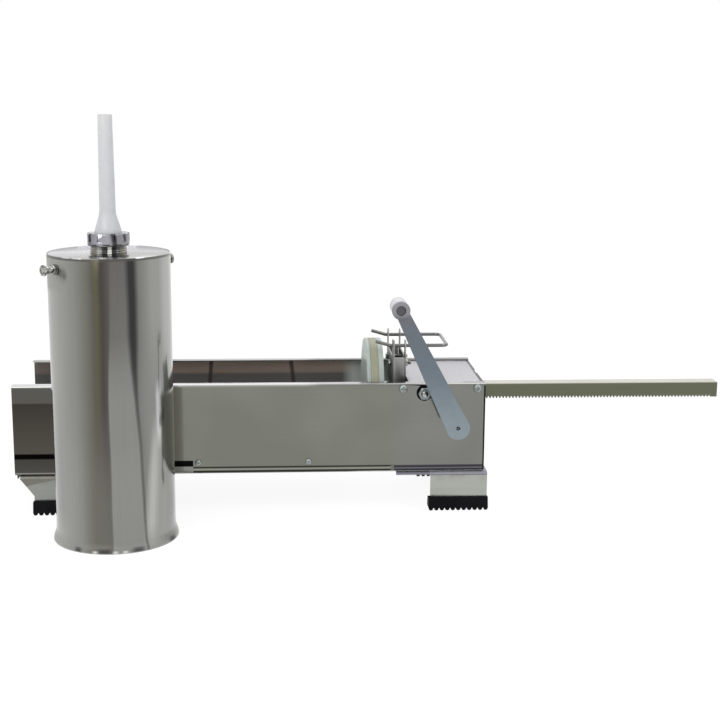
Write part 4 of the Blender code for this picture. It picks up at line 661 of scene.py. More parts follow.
# Painted reflections on the tube: colour, how crisp its edge is, and knots of each one, the
# later ones over the earlier
TUBE_PAINTED_STREAKS = (
    ((0.175, 0.172, 0.155), 0.3,
     ((0, -4, 14, 0.7), (0.06, -4, 13, 0.7), (0.13, -4, 11, 0.2), (0.17, -4, 10, 0))),
    ((0.062, 0.054, 0.044), 0,
     ((0, -1, 6, 0.1), (0.13, -1, 6, 0.35), (0.18, -1, 7, 0.75), (0.34, -1, 10, 0.9))),
    ((0.118, 0.116, 0.060), 0,
     ((0, -7, 3, 0.2), (0.13, -7, 3, 0.35), (0.21, -7, 3.4, 0.8), (0.34, -6, 3.6, 0.8))),
    ((0.235, 0.237, 0.220), 0.3,
     ((0.12, 46, 22, 0), (0.165, 46, 22, 0.8), (0.21, 46, 20, 0.6), (0.27, 46, 18, 0))),
    ((0.250, 0.253, 0.235), 0.9,
     ((0, 19.5, 17, 1), (0.13, 17, 15, 1), (0.18, 15.8, 13.5, 1), (0.21, 15.4, 12.5, 0.8),
      (0.25, 15, 11, 0.35), (0.34, 15, 9, 0.1))),
    ((0.27, 0.27, 0.26), 0.2,
     ((0.01, -58, 26, 0), (0.045, -58, 26, 0.8), (0.13, -58, 26, 0.6), (0.2, -58, 24, 0))),
    ((0.42, 0.42, 0.40), 0.2,
     ((0, 40, 9, 0.3), (0.03, 42, 9, 1), (0.085, 45, 8, 1), (0.128, 48, 6, 0.7),
      (0.16, 50, 5, 0))),
    ((0.70, 0.70, 0.68), 0.2,
     ((0.115, 54, 5, 0), (0.14, 54, 5, 0.7), (0.18, 54, 5, 0.7), (0.2, 54, 5, 0))),
    ((0.40, 0.40, 0.385), 0.3, ((0.20, 70, 12, 0), (0.25, 70, 12, 1), (0.34, 70, 12, 1))),
    ((0.20, 0.20, 0.19), 0.2,
     ((0, 76, 16, 0.2), (0.04, 76, 16, 0.6), (0.12, 76, 12, 0))),
    ((0.042, 0.042, 0.040), 0.3,
     ((0, 36, 2.0, 0.5), (0.13, 31, 2.2, 0.5), (0.18, 28.8, 2.8, 0.65),
      (0.215, 27, 4.6, 0.9), (0.25, 26.5, 6.6, 1), (0.34, 26.5, 7, 1))),
)


def make_tube_steel():
    """The drawn tube, with painted reflections: long light and dark streaks from its closed end to
    its flare, dark and bright spots at the flare, glints on the top edge, and painted shade under
    the cover.
    """
    tube = Steel("tube_steel", (700, 700, 5), 0.12, 0.10, 0.2)
    x, y, z = axes(tube.place, TUBE_CENTRE)
    angle = calc("ADD", around(x, y), map_range(noise(tube.place, 7, 2), -2, 2))
    # Painted reflections: light and dark tones round the axis, then the painted streaks over them
    tone = ramp(
        rising(angle, -180, 180),
        [(0.0, 0.28), (0.12, 0.36), (0.269, 0.38), (0.357, 0.345), (0.424, 0.25),
         (0.456, (0.165, 0.165, 0.142)), (0.474, (0.115, 0.108, 0.094)),
         (0.492, (0.118, 0.108, 0.102)), (0.530, (0.130, 0.120, 0.114)),
         (0.575, 0.13), (0.60, 0.21), (0.635, 0.31), (0.680, 0.31), (0.720, 0.40),
         (0.770, 0.55), (0.85, 0.42), (1.0, 0.28)],
    )
    for colour, crisp, knots in TUBE_PAINTED_STREAKS:
        tone = blend(painted_streak(angle, z, crisp, knots), tone, colour)

    # Painted reflections at the flare's rim: dark spots, bright glints and a paler lower edge
    near_rim = between(z, 0.0015, 0.0040, 0.0035)
    for centre, reach in ((-5, 7), (26, 6.5), (69, 7), (-31, 4)):
        dark = between(angle, centre - reach * 0.4, centre + reach * 0.4, reach * 0.8)
        tone = blend(times(dark, near_rim, 0.8), tone, (0.050, 0.046, 0.044))
    lower = between(z, 0.0010, 0.0030, 0.0012)
    for centre in (-14, 5, 14):
        bright = between(angle, centre - 0.5, centre + 0.5, 3)
        tone = blend(times(bright, lower), tone, (0.60, 0.60, 0.58))
    tone = blend(map_range(z, 0.55, 0, 0.0006, 0.0016), tone, (0.50, 0.50, 0.48))

    top = TUBE_HIGH.z
    # Painted highlights: glints along the top edge
    glints = rising(calc("ABSOLUTE", angle), 70, 90)
    for centre in (-36, -24, 37):
        glints = calc("MAXIMUM", glints, between(angle, centre - 3, centre + 3, 3))
    brim = times(rising(z, top - 0.0010, top - 0.0006), glints)
    tone = blend(brim, tone, (0.85, 0.85, 0.88))
    # Painted shade: a dark line just below the tube's top edge, under the cover
    shade_under_cover = between(z, top - 0.0026, top - 0.0012, 0.0012)
    tone = blend(times(shade_under_cover, 0.75), tone, (0.10, 0.095, 0.085))

    pin_low, pin_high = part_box("seat_pin_near")
    by_pin = times(
        between(angle, -82, -40, 8),
        between(z, pin_low.z - 0.015, pin_high.z + 0.005, 0.008),
    )
    by_foot = falling(z, 0.5 * FLARE_LENGTH, 1.5 * FLARE_LENGTH)
    return tube.finished(tone, duller=map_range(calc("MAXIMUM", by_pin, by_foot), 0, 0.3))


def make_turned_cover():
    """The end plate's turned face, with painted reflections: light and dark fans spread from its
    middle.
    """
    cover = Steel("turned_cover", (60, 60, 60), 0.06, 0.14, 0.26)
    x, y, _ = axes(cover.place, TUBE_CENTRE)
    # Painted reflections: light and dark fans round the middle
    fans = ramp(
        rising(around(x, y), -180, 180),
        [(0.0, (0.60, 0.60, 0.66)), (0.25, (0.54, 0.54, 0.58)), (0.40, (0.44, 0.44, 0.45)),
         (0.47, 0.47), (0.55, 0.46), (0.62, 0.34), (0.75, (0.29, 0.29, 0.30)),
         (1.0, (0.60, 0.60, 0.66))],
    )
    reach = calc("SQRT", calc("ADD", times(x, x), times(y, y)))
    line = {"noise_dimensions": "1D"}
    rings = add(x.id_data, "TexNoise", line, W=times(reach, 1500), Scale=1, Detail=2)
    return cover.finished(toned(fans, map_range(rings.outputs[0], 0.92, 1.06)))


def make_chrome():
    """Bright plating with painted reflections: random dark and light areas in its tone."""
    plating = Steel("bright_chrome", (60, 60, 60), 0.05, 0.05, 0.14)
    # Painted reflections: random dark and light areas
    reflection_patches = noise(plating.place, 260, 2)
    stops = [(0.36, 0.10), (0.47, 0.288), (0.56, 0.36), (0.64, 0.62)]
    return plating.finished(ramp(reflection_patches, stops))


def make_outlet_chrome():
    """Plating with painted reflections: streaks along the outlet's axis, crisp on the neck, softer
    on the nut.
    """
    plating = Steel("outlet_chrome", (60, 60, 60), 0.05, 0.06, 0.14)
    x, y, z = axes(plating.place, TUBE_CENTRE)
    angle = calc("ADD", around(x, y), map_range(noise(plating.place, 90, 1), -9, 9))
    share = rising(angle, -180, 180)
    # Painted reflections on the neck: crisp light and dark streaks round the axis
    neck = ramp(
        share,
        [(0.0, 0.30), (0.07, 0.08), (0.12, 0.55), (0.20, 0.25), (0.25, 0.18),
         (0.33, (0.22, 0.21, 0.17)), (0.40, (0.26, 0.25, 0.21)), (0.425, 0.60),
         (0.445, 0.20), (0.465, 0.03), (0.500, 0.03), (0.512, 0.85), (0.540, 0.85),
         (0.550, 0.03), (0.590, 0.03), (0.610, 0.15), (0.67, (0.32, 0.31, 0.28)),
         (0.74, 0.24), (0.80, 0.08), (0.88, 0.5), (1.0, 0.30)],
    )
    # Painted reflections on the ring nut: softer streaks
    nut = ramp(
        share,
        [(0.0, 0.30), (0.12, 0.45), (0.20, 0.25), (0.30, (0.30, 0.30, 0.33)),
         (0.345, (0.09, 0.09, 0.10)), (0.37, (0.26, 0.26, 0.29)),
         (0.43, (0.34, 0.335, 0.365)), (0.515, (0.37, 0.365, 0.40)),
         (0.535, (0.28, 0.275, 0.30)), (0.55, (0.06, 0.058, 0.065)),
         (0.575, (0.06, 0.058, 0.065)), (0.59, (0.26, 0.26, 0.275)),
         (0.75, (0.26, 0.26, 0.27)), (0.82, 0.12), (0.90, 0.45), (1.0, 0.30)],
    )
    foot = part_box("ring_nut")[0].z
    return plating.finished(blend(rising(z, foot - 0.0002, foot), neck, nut))


def make_nut_zinc():
    """Dull zinc, with the black washer that shows behind the nut."""
    zinc = Steel("nut_zinc", (300, 300, 300), 0.3, 0.3, 0.5)
    _, y, _ = axes(zinc.place)
    wall_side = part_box("hold_down_nut")[1].y
    washer = rising(y, wall_side - 0.00162, wall_side - 0.00155)
    return zinc.finished(blend(washer, (0.26, 0.29, 0.30), (0.006, 0.006, 0.006)))


def make_lid_steel():
    """Satin sheet with painted shade along its sheared rear edge."""
    sheet = Steel("lid_steel", (8, 700, 700), 0.12, 0.28, 0.42)
    x, _, _ = axes(sheet.place)
    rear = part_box("gearbox_lid")[1].x
    # Painted shade: a dark, non-metallic band along the rear edge
    edge = rising(x, rear - 0.0030, rear - 0.0022)
    tone = blend(edge, (0.41, 0.41, 0.435), (0.01, 0.01, 0.01))
    return sheet.finished(tone, metallic=map_range(edge, 1, 0))


def make_arm_zinc():
    """Zinc plating with painted light: paler towards the shaft, darker along the middle, and paler
    again at the boss.
    """
    zinc = Steel("arm_zinc", (90, 90, 90), 0.16, 0.36, 0.55, marks=40)
    _, _, z = axes(zinc.place)
    low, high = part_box("crank_arm")
    # Painted light and shade along the arm's height
    tone = ramp(
        rising(z, low.z, high.z),
        [(0.0, (0.250, 0.290, 0.320)), (0.22, (0.225, 0.265, 0.295)),
         (0.45, (0.160, 0.195, 0.225)), (0.75, (0.150, 0.172, 0.195)),
         (0.88, (0.160, 0.170, 0.190)), (0.92, (0.27, 0.27, 0.29))],
    )
    return zinc.finished(tone)


def make_leg_steel():
    """Satin sheet with painted shade: darker at its top under the trough, broken up by noise, and
    towards the trough's front end; a shaded band and a dark line along the rear leg's top; and a
    painted reflection on the front toe.
    """
    sheet = Steel("leg_steel", (8, 600, 600), 0.18, 0.3, 0.45)
    x, _, z = axes(sheet.place)
    base, front, top = TROUGH_LOW.z, TROUGH_LOW.x, REAR_LEG_HIGH.z
    # Painted shade under the trough, broken up by noise
    shade_under_trough = times(
        map_range(noise(sheet.place, 45, 3), 0, 0.6, 0.45, 0.65),
        rising(z, base - 0.010, base + 0.002),
    )
    tone = blend(shade_under_trough, (0.385, 0.395, 0.365), (0.17, 0.17, 0.13))
    # Painted shade towards the trough's front end
    tone = toned(tone, map_range(x, 0.72, 1, front + 0.10, front + 0.20))

    # Painted shade along the rear leg's top, paler over the foot, with a dark line below it
    foot_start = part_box("rubber_foot_rear_near")[0].x
    rear = rising(x, REAR_LEG_LOW.x - 0.002, REAR_LEG_LOW.x - 0.001)
    over_foot = rising(x, foot_start, foot_start + 0.003)
    shaded = blend(over_foot, (0.20, 0.195, 0.23), (0.30, 0.29, 0.34))
    tone = blend(times(rear, rising(z, top - 0.0036, top - 0.0032)), tone, shaded)
    line = times(rear, between(z, top - 0.0040, top - 0.0035, 0.0003))
    tone = blend(line, tone, (0.09, 0.09, 0.10))

    # Painted reflection: a dark area on the front toe above a slanted line
    toe_slope = 0.23
    along = calc("SUBTRACT", x, front)
    above = calc("SUBTRACT", z, times(along, toe_slope))
    toe_reflection = times(rising(above, 0.0338, 0.0344), falling(along, 0.058, 0.075))
    tone = blend(toe_reflection, tone, (0.18, 0.18, 0.155))
    return sheet.finished(tone, metallic=map_range(z, 1, 0.2, top - 0.0024, top - 0.0018))


def make_rack_steel():
    """Olive passivated bar, with a painted sheen that makes its top face pale."""
    bar = Steel("rack_steel", (14, 900, 900), 0.2, 0.3, 0.48)
    _, _, z = axes(bar.place)
    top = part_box("rack")[1].z
    # Painted sheen: the top face is pale
    worn = rising(z, top - 0.0012, top - 0.0004)
    return bar.finished(blend(worn, (0.132, 0.138, 0.095), (0.50, 0.50, 0.44)))


def moulded(name, light, dark, scale, clean, smudged, depth, sockets):
    """Plastic or rubber with a faint mottle and a fine moulded skin."""
    material, shader, place = start_material(name, 0)
    tone = use_group(MOTTLE, place, Scale=scale, Light=light, Dark=dark)
    wiped = use_group(HANDLING, place, Scale=35, Clean=clean, Smudged=smudged)
    feed(shader.inputs["Base Color"], tone["Color"])
    feed(shader.inputs["Roughness"], wiped["Roughness"])
    relief(shader, noise(place, 1400, 2), 0.3, depth)
    for label, value in sockets.items():
        shader.inputs[label].default_value = value
    return material


# Each finish is its material and the record's slot that it belongs to
FINISHES = {
    "wall": (make_wall_steel(), "polished_steel"),
    "tube": (make_tube_steel(), "polished_steel"),
    "end_plate": (make_turned_cover(), "polished_steel"),
    "lid": (make_lid_steel(), "satin_steel"),
    "legs": (make_leg_steel(), "satin_steel"),
    "arm": (make_arm_zinc(), "zinc_steel"),
    "rack": (make_rack_steel(), "olive_steel"),
    "chrome": (make_chrome(), "chrome"),
    "outlet": (make_outlet_chrome(), "chrome"),
    "nut": (make_nut_zinc(), "chrome"),
}

# Metals of one colour, with their grain's stretch and contrast and their roughness
for finish, slot, name, colour, *look in (
    ("bracket", "polished_steel", "bracket_steel",
     (0.37, 0.37, 0.36), (500, 500, 8), 0.35, 0.5, 0.62),
    ("inner", "satin_steel", "inner_steel",
     (0.30, 0.30, 0.29), (600, 12, 600), 0.2, 0.25, 0.42),
    ("axle", "zinc_steel", "axle_steel", (0.11, 0.10, 0.12), (90, 90, 90), 0.2, 0.3, 0.45),
    ("screw", "chrome", "screw_zinc", (0.34, 0.37, 0.37), (300, 300, 300), 0.3, 0.42, 0.6),
    ("wire", "chrome", "wire_steel", (0.20, 0.20, 0.195), (60, 60, 60), 0.25, 0.12, 0.25),
    ("bronze", "bronze", "bush_bronze", (0.40, 0.29, 0.14), (90, 90, 90), 0.3, 0.35, 0.5),
):
    FINISHES[finish] = (Steel(name, *look).finished(colour), slot)

# Moulded ones, with their two tones, the tones' scale, their roughness and skin
for finish, slot, name, *look, sockets in (
    ("rubber", "rubber", "foot_rubber", (0.0060, 0.0060, 0.0075),
     (0.0025, 0.0025, 0.0035), 90, 0.6, 0.85, 0.00006, {"Specular IOR Level": 0.1}),
    ("nylon", "nylon", "piston_nylon", (0.50, 0.55, 0.52), (0.42, 0.47, 0.44),
     30, 0.3, 0.5, 0.00002, {"Subsurface Weight": 0.15}),
    ("seal", "silicone", "seal_silicone", (0.38, 0.375, 0.26), (0.30, 0.30, 0.20),
     40, 0.35, 0.55, 0.00002, {}),
    ("funnel", "white_plastic", "funnel_plastic", (0.750, 0.728, 0.725),
     (0.715, 0.692, 0.695), 25, 0.25, 0.42, 0.00002, {"Subsurface Weight": 0.1}),
    ("grip", "white_plastic", "grip_plastic", (0.78, 0.77, 0.81), (0.72, 0.71, 0.75),
     25, 0.35, 0.5, 0.000006, {}),
):
    FINISHES[finish] = (moulded(name, *look, sockets), slot)


class ShapeTree:
    """A Geometry Nodes tree with named inputs that ends in real faces and one material."""

    def __init__(self, name, **kinds):
        self.name = name
        self.tree = bpy.data.node_groups.new(name, "GeometryNodeTree")
        new = self.tree.interface.new_socket
        self.identifiers = {
            label: new(label, in_out="INPUT", socket_type="NodeSocket" + kind).identifier
            for label, kind in {"Geometry": "Geometry", **kinds}.items()
        }
        new("Geometry", in_out="OUTPUT", socket_type="NodeSocketGeometry")
        self.given = self.node("NodeGroupInput")

    def node(self, kind, settings=(), **inputs):
        return add(self.tree, kind, settings, **inputs).outputs

    def run(self, shape, finish, mesh, **values):
        """End the tree with a shape's socket and run it on a mesh."""
        whole = self.node("RealizeInstances", Geometry=shape)[0]
        painted = self.node("SetMaterial", Geometry=whole, Material=FINISHES[finish][0])[0]
        self.node("NodeGroupOutput", Geometry=painted)
        holder = scratch_object(self.name, mesh)
        change = holder.modifiers.new(self.name, "NODES")
        change.node_group = self.tree
        for label, value in values.items():
            change[self.identifiers[label]] = value
        return evaluated(holder)


def wire(name, points, radius, finish):
    """A round wire along points, swept by Geometry Nodes."""
    path = bpy.data.meshes.new(name)
    path.from_pydata(points, [(i, i + 1) for i in range(len(points) - 1)], [])
    build = ShapeTree(name, Radius="Float", Sides="Int")
    line = build.node("MeshToCurve", Mesh=build.given["Geometry"])[0]
    ring = build.node(
        "CurvePrimitiveCircle", Radius=build.given["Radius"], Resolution=build.given["Sides"]
    )["Curve"]
    swept = build.node("CurveToMesh", Curve=line, Profile_Curve=ring, Fill_Caps=True)[0]
    return outward(build.run(swept, finish, path, Radius=radius, Sides=24))


def scatter(name, template, places, body, finish, *nodes):
    """Set copies of a small mesh at (point, facing, scale) places by Geometry Nodes."""
    spots = bpy.data.meshes.new(name)
    spots.from_pydata([place for place, _, _ in places], [], [])
    spots.attributes.new("facing", "FLOAT_VECTOR", "POINT")
    spots.attributes.new("size", "FLOAT", "POINT")
    for index, (_, way, size) in enumerate(places):
        spots.attributes["facing"].data[index].vector = way
        spots.attributes["size"].data[index].value = size
    build = ShapeTree(name, Piece="Object")
    one = build.node("ObjectInfo", Object=build.given["Piece"])["Geometry"]
    way = build.node("InputNamedAttribute", {"data_type": "FLOAT_VECTOR"}, Name="facing")
    size = build.node("InputNamedAttribute", Name="size")["Attribute"]
    aim = build.node(
        "FunctionNodeAlignRotationToVector", {"axis": "Z"}, Vector=way["Attribute"]
    )[0]
    spread = build.node(
        "InstanceOnPoints", Points=build.given["Geometry"], Instance=one, Rotation=aim,
        Scale=size,
    )[0]
    pattern = scratch_object(name + "_one", template)
    mesh = build.run(spread, finish, spots, Piece=pattern)
    bpy.data.objects.remove(pattern)
    for label in ("facing", "size"):
        if label in mesh.attributes:
            mesh.attributes.remove(mesh.attributes[label])
    piece(name, mesh, body, finish, *nodes, smooth=45)


def blocks_round(name, finish, count, reach, height, size):
    """Blocks set round Z by Geometry Nodes, each turned to face outwards."""
    build = ShapeTree(name, Count="Int", Reach="Float", Height="Float", Size="Vector")
    given = build.given
    ring = build.node("MeshCircle", Vertices=given["Count"], Radius=given["Reach"])["Mesh"]
    shift = build.node("ShaderNodeCombineXYZ", Z=given["Height"])[0]
    lifted = build.node("Transform", Geometry=ring, Translation=shift)[0]
    cube = build.node("MeshCube", Size=given["Size"])["Mesh"]
    flat = calc("MULTIPLY", build.node("InputPosition")[0], (1, 1, 0), kind="VectorMath")
    facing = build.node("FunctionNodeAlignRotationToVector", {"axis": "X"}, Vector=flat)[0]
    spread = build.node("InstanceOnPoints", Points=lifted, Instance=cube, Rotation=facing)
    values = {"Count": count, "Reach": reach, "Height": height, "Size": size}
    return build.run(spread[0], finish, bpy.data.meshes.new(name), **values)


def make_cylinder():
    """The tube with its eased flare, its end plate, and the seat pins."""
    height = TUBE_HIGH.z
    rim = (TUBE_HIGH.x - TUBE_LOW.x) / 2
    outer = [
        (TUBE_RADIUS - 0.0009, height),
        (TUBE_RADIUS - 0.0003, height - 0.0001),
        (TUBE_RADIUS, height - 0.0006),
    ]
    inner = []
    for share in evenly(0, 1, 20):
        widened = (rim - TUBE_RADIUS) * (1 - math.cos(math.pi * share)) / 2
        level = max(FLARE_LENGTH * (1 - share), 0.0005)
        outer.append((TUBE_RADIUS + widened, level))
        inner.append((TUBE_RADIUS - TUBE_WALL + widened, level))
    profile = [*outer, (rim - 0.0003, 0), (rim - 0.0007, 0), *reversed(inner)]
    profile.append((TUBE_RADIUS - TUBE_WALL, height - 0.0003))
    tube = placed(lathe("meat_cylinder", profile, 160), "Z", TUBE_CENTRE)
    piece("meat_cylinder", tube, "cylinder", "tube", "cylinder_tube")

    low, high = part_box("cylinder_end_plate")
    edge, top = (high.x - low.x) / 2, high.z
    disc = [
        (OUTLET_BORE, top), (edge - 0.0036, top), (edge - 0.0030, top - 0.0002),
        (edge - 0.0018, top - 0.0002), (edge - 0.0010, top), (edge, top - 0.0003),
        (edge, low.z), (OUTLET_BORE, low.z),
    ]
    cover = placed(lathe("cylinder_cover", disc, 160), "Z", TUBE_CENTRE)
    piece("cylinder_cover", cover, "cylinder", "end_plate", "cylinder_end_plate")

    collar, neck, head = 0.0050, 0.0088, 0.0032
    reach = collar + neck + head
    corners = [
        (0, reach), (0.00625, reach), (0.00625, collar + neck), (0.0040, collar + neck),
        (0.0040, collar), (0.0060, collar), (0.0060, 0), (0, 0),
    ]
    outline = rounded(corners, [0, 0.0010, 0.0007, 0.0004, 0.0004, 0.0008, 0.0003, 0])
    for side in SIDES:
        node = f"seat_pin_{side}"
        centre = middle(node)
        way = Vector((centre.x - TUBE_CENTRE.x, centre.y - TUBE_CENTRE.y, 0)).normalized()
        foot = TUBE_CENTRE + way * (TUBE_RADIUS + 0.0003) + Vector((0, 0, centre.z))
        pin = lathe(node, outline, ROUND_STEPS, closed=False)
        turn = way.to_track_quat("Z", "Y").to_matrix().to_4x4()
        pin.transform(Matrix.Translation(foot) @ turn)
        piece(f"bobbin_pin_{side}", pin, "cylinder", "chrome", node)


def make_outlet():
    """Threaded neck, funnel and castellated ring nut on the closed end."""
    low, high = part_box("threaded_neck")
    radius = (high.x - low.x) / 2
    profile = [(radius, level) for level in evenly(high.z, low.z, 60)]
    profile += [(OUTLET_BORE, low.z), (OUTLET_BORE, high.z)]
    cut = thread(
        radius, 0.0024, 0.0007,
        lambda height: max(0, min(1, (height - low.z) / 0.002, (high.z - height) / 0.001)),
    )
    neck = placed(lathe("neck", profile, 96, wobble=cut), "Z", TUBE_CENTRE)
    piece("outlet_neck", neck, "cylinder", "outlet", "threaded_neck", smooth=60)

    nut_low, nut_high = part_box("ring_nut")
    reach = (nut_high.x - nut_low.x) / 2
    lip = nut_high.z - 0.003
    bore, mouth = 0.0213, 0.0158
    corners = [
        (reach, nut_high.z), (reach, nut_low.z), (bore, nut_low.z), (bore, lip),
        (mouth, lip), (mouth, nut_high.z),
    ]
    nut = lathe("ring_nut", rounded(corners, [0.0010, 0.0010, 0.0004, 0, 0, 0.0005]), 144)
    notches = blocks_round(
        "nut_notches", "outlet", 10, reach, nut_high.z - 0.0035, (0.0036, 0.0060, 0.0110)
    )
    nut = bevelled(carved(nut, [notches]), 0.0004, 2, 40)
    piece("castle_nut", placed(nut, "Z", TUBE_CENTRE), "ring_nut", "outlet", "ring_nut")

    low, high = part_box("funnel")
    flange = nut_high.z - 0.0033
    wall = 0.0012
    flange_reach, foot, waist, tip = 0.0195, 0.0155, 0.00935, 0.00815
    cone = []
    for share in evenly(0, 1, 14):
        eased = share * share * (3 - 2 * share) * 0.55 + share * 0.45
        cone.append((foot + (waist - foot) * eased, nut_high.z + 0.024 * share))
    outer = [(flange_reach, low.z), (flange_reach, flange), (foot, flange), *cone]
    spout = [
        (tip, high.z - 0.0005), (tip - 0.0002, high.z), (tip - wall + 0.0002, high.z),
        (tip - wall, high.z - 0.0005),
    ]
    inner = [(reach - wall, level) for reach, level in reversed(cone)]
    profile = [*outer, *spout, *inner, (foot - wall, low.z)]
    shape = placed(lathe("funnel", profile, 96), "Z", TUBE_CENTRE)
    piece("filling_funnel", shape, "cylinder", "funnel", "funnel", smooth=50)


def offset_path(points, distance):
    """The same open path moved to its left by distance, with mitred corners."""
    ways = [
        (Vector(stop) - Vector(start)).normalized() for start, stop in zip(points, points[1:])
    ]
    sides = [Vector((-way.y, way.x)) for way in ways]
    moved = []
    for place, before, after in zip(points, [sides[0], *sides], [*sides, sides[-1]]):
        side = (before + after) / (1 + before.dot(after))
        moved.append(tuple(Vector(place) + side * distance))
    return moved


def prism(name, outline, axis, start, stop):
    """An outline drawn out along an axis. Across X it is (y, z), across Y (x, z)."""
    spot = "XYZ".index(axis)
    count = len(outline)
    vertices = []
    for level in (start, stop):
        vertices += [(*point[:spot], level, *point[spot:]) for point in outline]
    faces = [list(range(count)), list(range(2 * count - 1, count - 1, -1))]
    for index in range(count):
        ahead = (index + 1) % count
        faces.append([index, ahead, ahead + count, index + count])
    mesh = bpy.data.meshes.new(name)
    mesh.from_pydata(vertices, [], faces)
    return outward(mesh)


def folded(name, corners, radii, thickness, axis, start, stop, edge, steps=8):
    """A sheet folded along a path across an axis, its sheared edges broken by edge. Its
    thickness lies to the left of the path, or to the right where it is negative."""
    path = rounded(corners, [0, *radii, 0], steps, closed=False)
    section = path + list(reversed(offset_path(path, thickness)))
    return bevelled(prism(name, section, axis, start, stop), edge, 2, 60)


def drill(axis, centre, radius, low, high):
    """A plain round cutter along an axis from low to high, measured from centre."""
    profile = [(0, high), (radius, high), (radius, low), (0, low)]
    return placed(lathe("drill", profile, ROUND_STEPS, closed=False), axis, centre)


def across(node, radius):
    """A round cutter through both walls on a cross piece's own axis."""
    centre = middle(node)
    centre.y = TROUGH_LOW.y
    return drill("Y", centre, radius, -PAST, TROUGH_HIGH.y - TROUGH_LOW.y + PAST)


def make_trough():
    """The long folded sheet with its lip, pin slots and cross holes."""
    near, far, top = TROUGH_LOW.y, TROUGH_HIGH.y, TROUGH_HIGH.z
    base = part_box("front_leg")[1].z + 0.0003
    flange = 0.012
    corners = [
        (near + flange, top), (near, top), (near, base), (far, base), (far, top),
        (far - flange, top),
    ]
    sheet = folded(
        "trough", corners, [0.0026, 0.005, 0.005, 0.0026], SHEET, "X", TROUGH_LOW.x,
        TROUGH_HIGH.x, 0.00025, 10,
    )

    lip_x = TROUGH_LOW.x + 0.0019
    floor = base + SHEET
    lip_path = [(lip_x, TROUGH_LOW.z), (lip_x, floor), (lip_x + 0.010, floor)]
    gap_near, gap_far = near + 0.005, far - 0.005
    lip = folded("lip", lip_path, [0.0024], -SHEET, "Y", gap_near, gap_far, 0.0002)

    seat_x, seat_z = TROUGH_LOW.x + 0.1087, middle("rack").z
    slot, mouth = 0.0046, 0.007
    cuts = [
        drill("Y", (seat_x, near, seat_z), slot, -PAST, far - near + PAST),
        brick((seat_x - slot, near - PAST, seat_z), (seat_x + slot, far + PAST, top + PAST)),
        brick(
            (seat_x - mouth, near - PAST, top - 0.0026),
            (seat_x + mouth, far + PAST, top + PAST),
        ),
        brick(
            (TROUGH_LOW.x - PAST, gap_near, base - 0.001),
            (lip_x + 0.0024, gap_far, floor + 0.0002),
        ),
    ]
    holes = [across("hold_down_nut", BOLT_HOLE), across("shaft_bush_near", BUSH_HOLE)]
    for kind in ("cradle", "lid"):
        holes += [across(f"{kind}_screw_{end}_near", SCREW_HOLE) for end in ENDS]
    sheet = carved(sheet, [*cuts, joined("holes", holes)])
    piece("trough_sheet", joined("trough_sheet", [sheet, lip]), "frame", "wall", "trough")


def make_legs():
    """Bent channels riveted under the floor, the front one with its slanted toe."""
    near, far = TROUGH_LOW.y, TROUGH_HIGH.y
    for end in ENDS:
        node = f"{end}_leg"
        low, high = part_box(node)
        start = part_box(f"rubber_foot_{end}_near")[0].x + 0.0025
        corners = [(near, low.z), (near, high.z), (far, high.z), (far, low.z)]
        bend, thickness = 0.0035, 0.002
        leg = folded(
            node, corners, [bend, bend], -thickness, "X", low.x, high.x, 0.0003
        )
        fold = high.z - bend
        toe = [(low.x, fold), (start, 0.0246)] if end == "front" else [(start, fold)]
        waste = [
            (low.x - PAST, fold), *toe, (start, low.z - PAST), (low.x - PAST, low.z - PAST)
        ]
        leg = carved(leg, [prism("waste", waste, "Y", near - PAST, far + PAST)])
        piece(f"{end}_leg_sheet", leg, "frame", "legs", node)


def foot_outline(low, high, ribs=11):
    """Side view of a rubber foot: eased upper corners and rounded ribs below."""
    pitch = (high.x - low.x) / ribs
    outline = [
        (high.x - 0.0016, high.z), (low.x + 0.0016, high.z), (low.x + 0.0009, high.z - 0.0008)
    ]
    for rib in range(ribs):
        centre = low.x + pitch * (rib + 0.5)
        outline.append((centre - pitch * 0.44, 0.0032))
        for angle in evenly(0, math.pi, 8):
            across_rib = centre - pitch * 0.36 * math.cos(angle)
            outline.append((across_rib, 0.0018 * (1 - math.sin(angle))))
        outline.append((centre + pitch * 0.44, 0.0032))
    return [*outline, (high.x - 0.0009, high.z - 0.0008)]


def make_feet():
    """Ribbed rubber pushed on the legs' lower edges, its inner lip lower than its outer."""
    groove_half = 0.0013
    for end in ENDS:
        for side in SIDES:
            node = f"rubber_foot_{end}_{side}"
            low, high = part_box(node)
            foot = prism(node, foot_outline(low, high), "Y", low.y, high.y)
            foot = bevelled(foot, 0.0004, 2, 50)
            if side == "near":
                edge = TROUGH_LOW.y + 0.001
                inner = (edge + groove_half, high.y + 0.001)
            else:
                edge = TROUGH_HIGH.y - 0.001
                inner = (low.y - 0.001, edge - groove_half)
            groove = brick(
                (low.x + 0.0022, edge - groove_half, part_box(f"{end}_leg")[0].z - 0.0003),
                (high.x - 0.0022, edge + groove_half, high.z + PAST),
            )
            inner_lip = brick(
                (low.x - 0.001, inner[0], high.z - 0.0035),
                (high.x + 0.001, inner[1], high.z + 0.002),
            )
            foot = carved(foot, [groove, inner_lip])
            piece(f"ribbed_{node}", foot, "frame", "rubber", node)


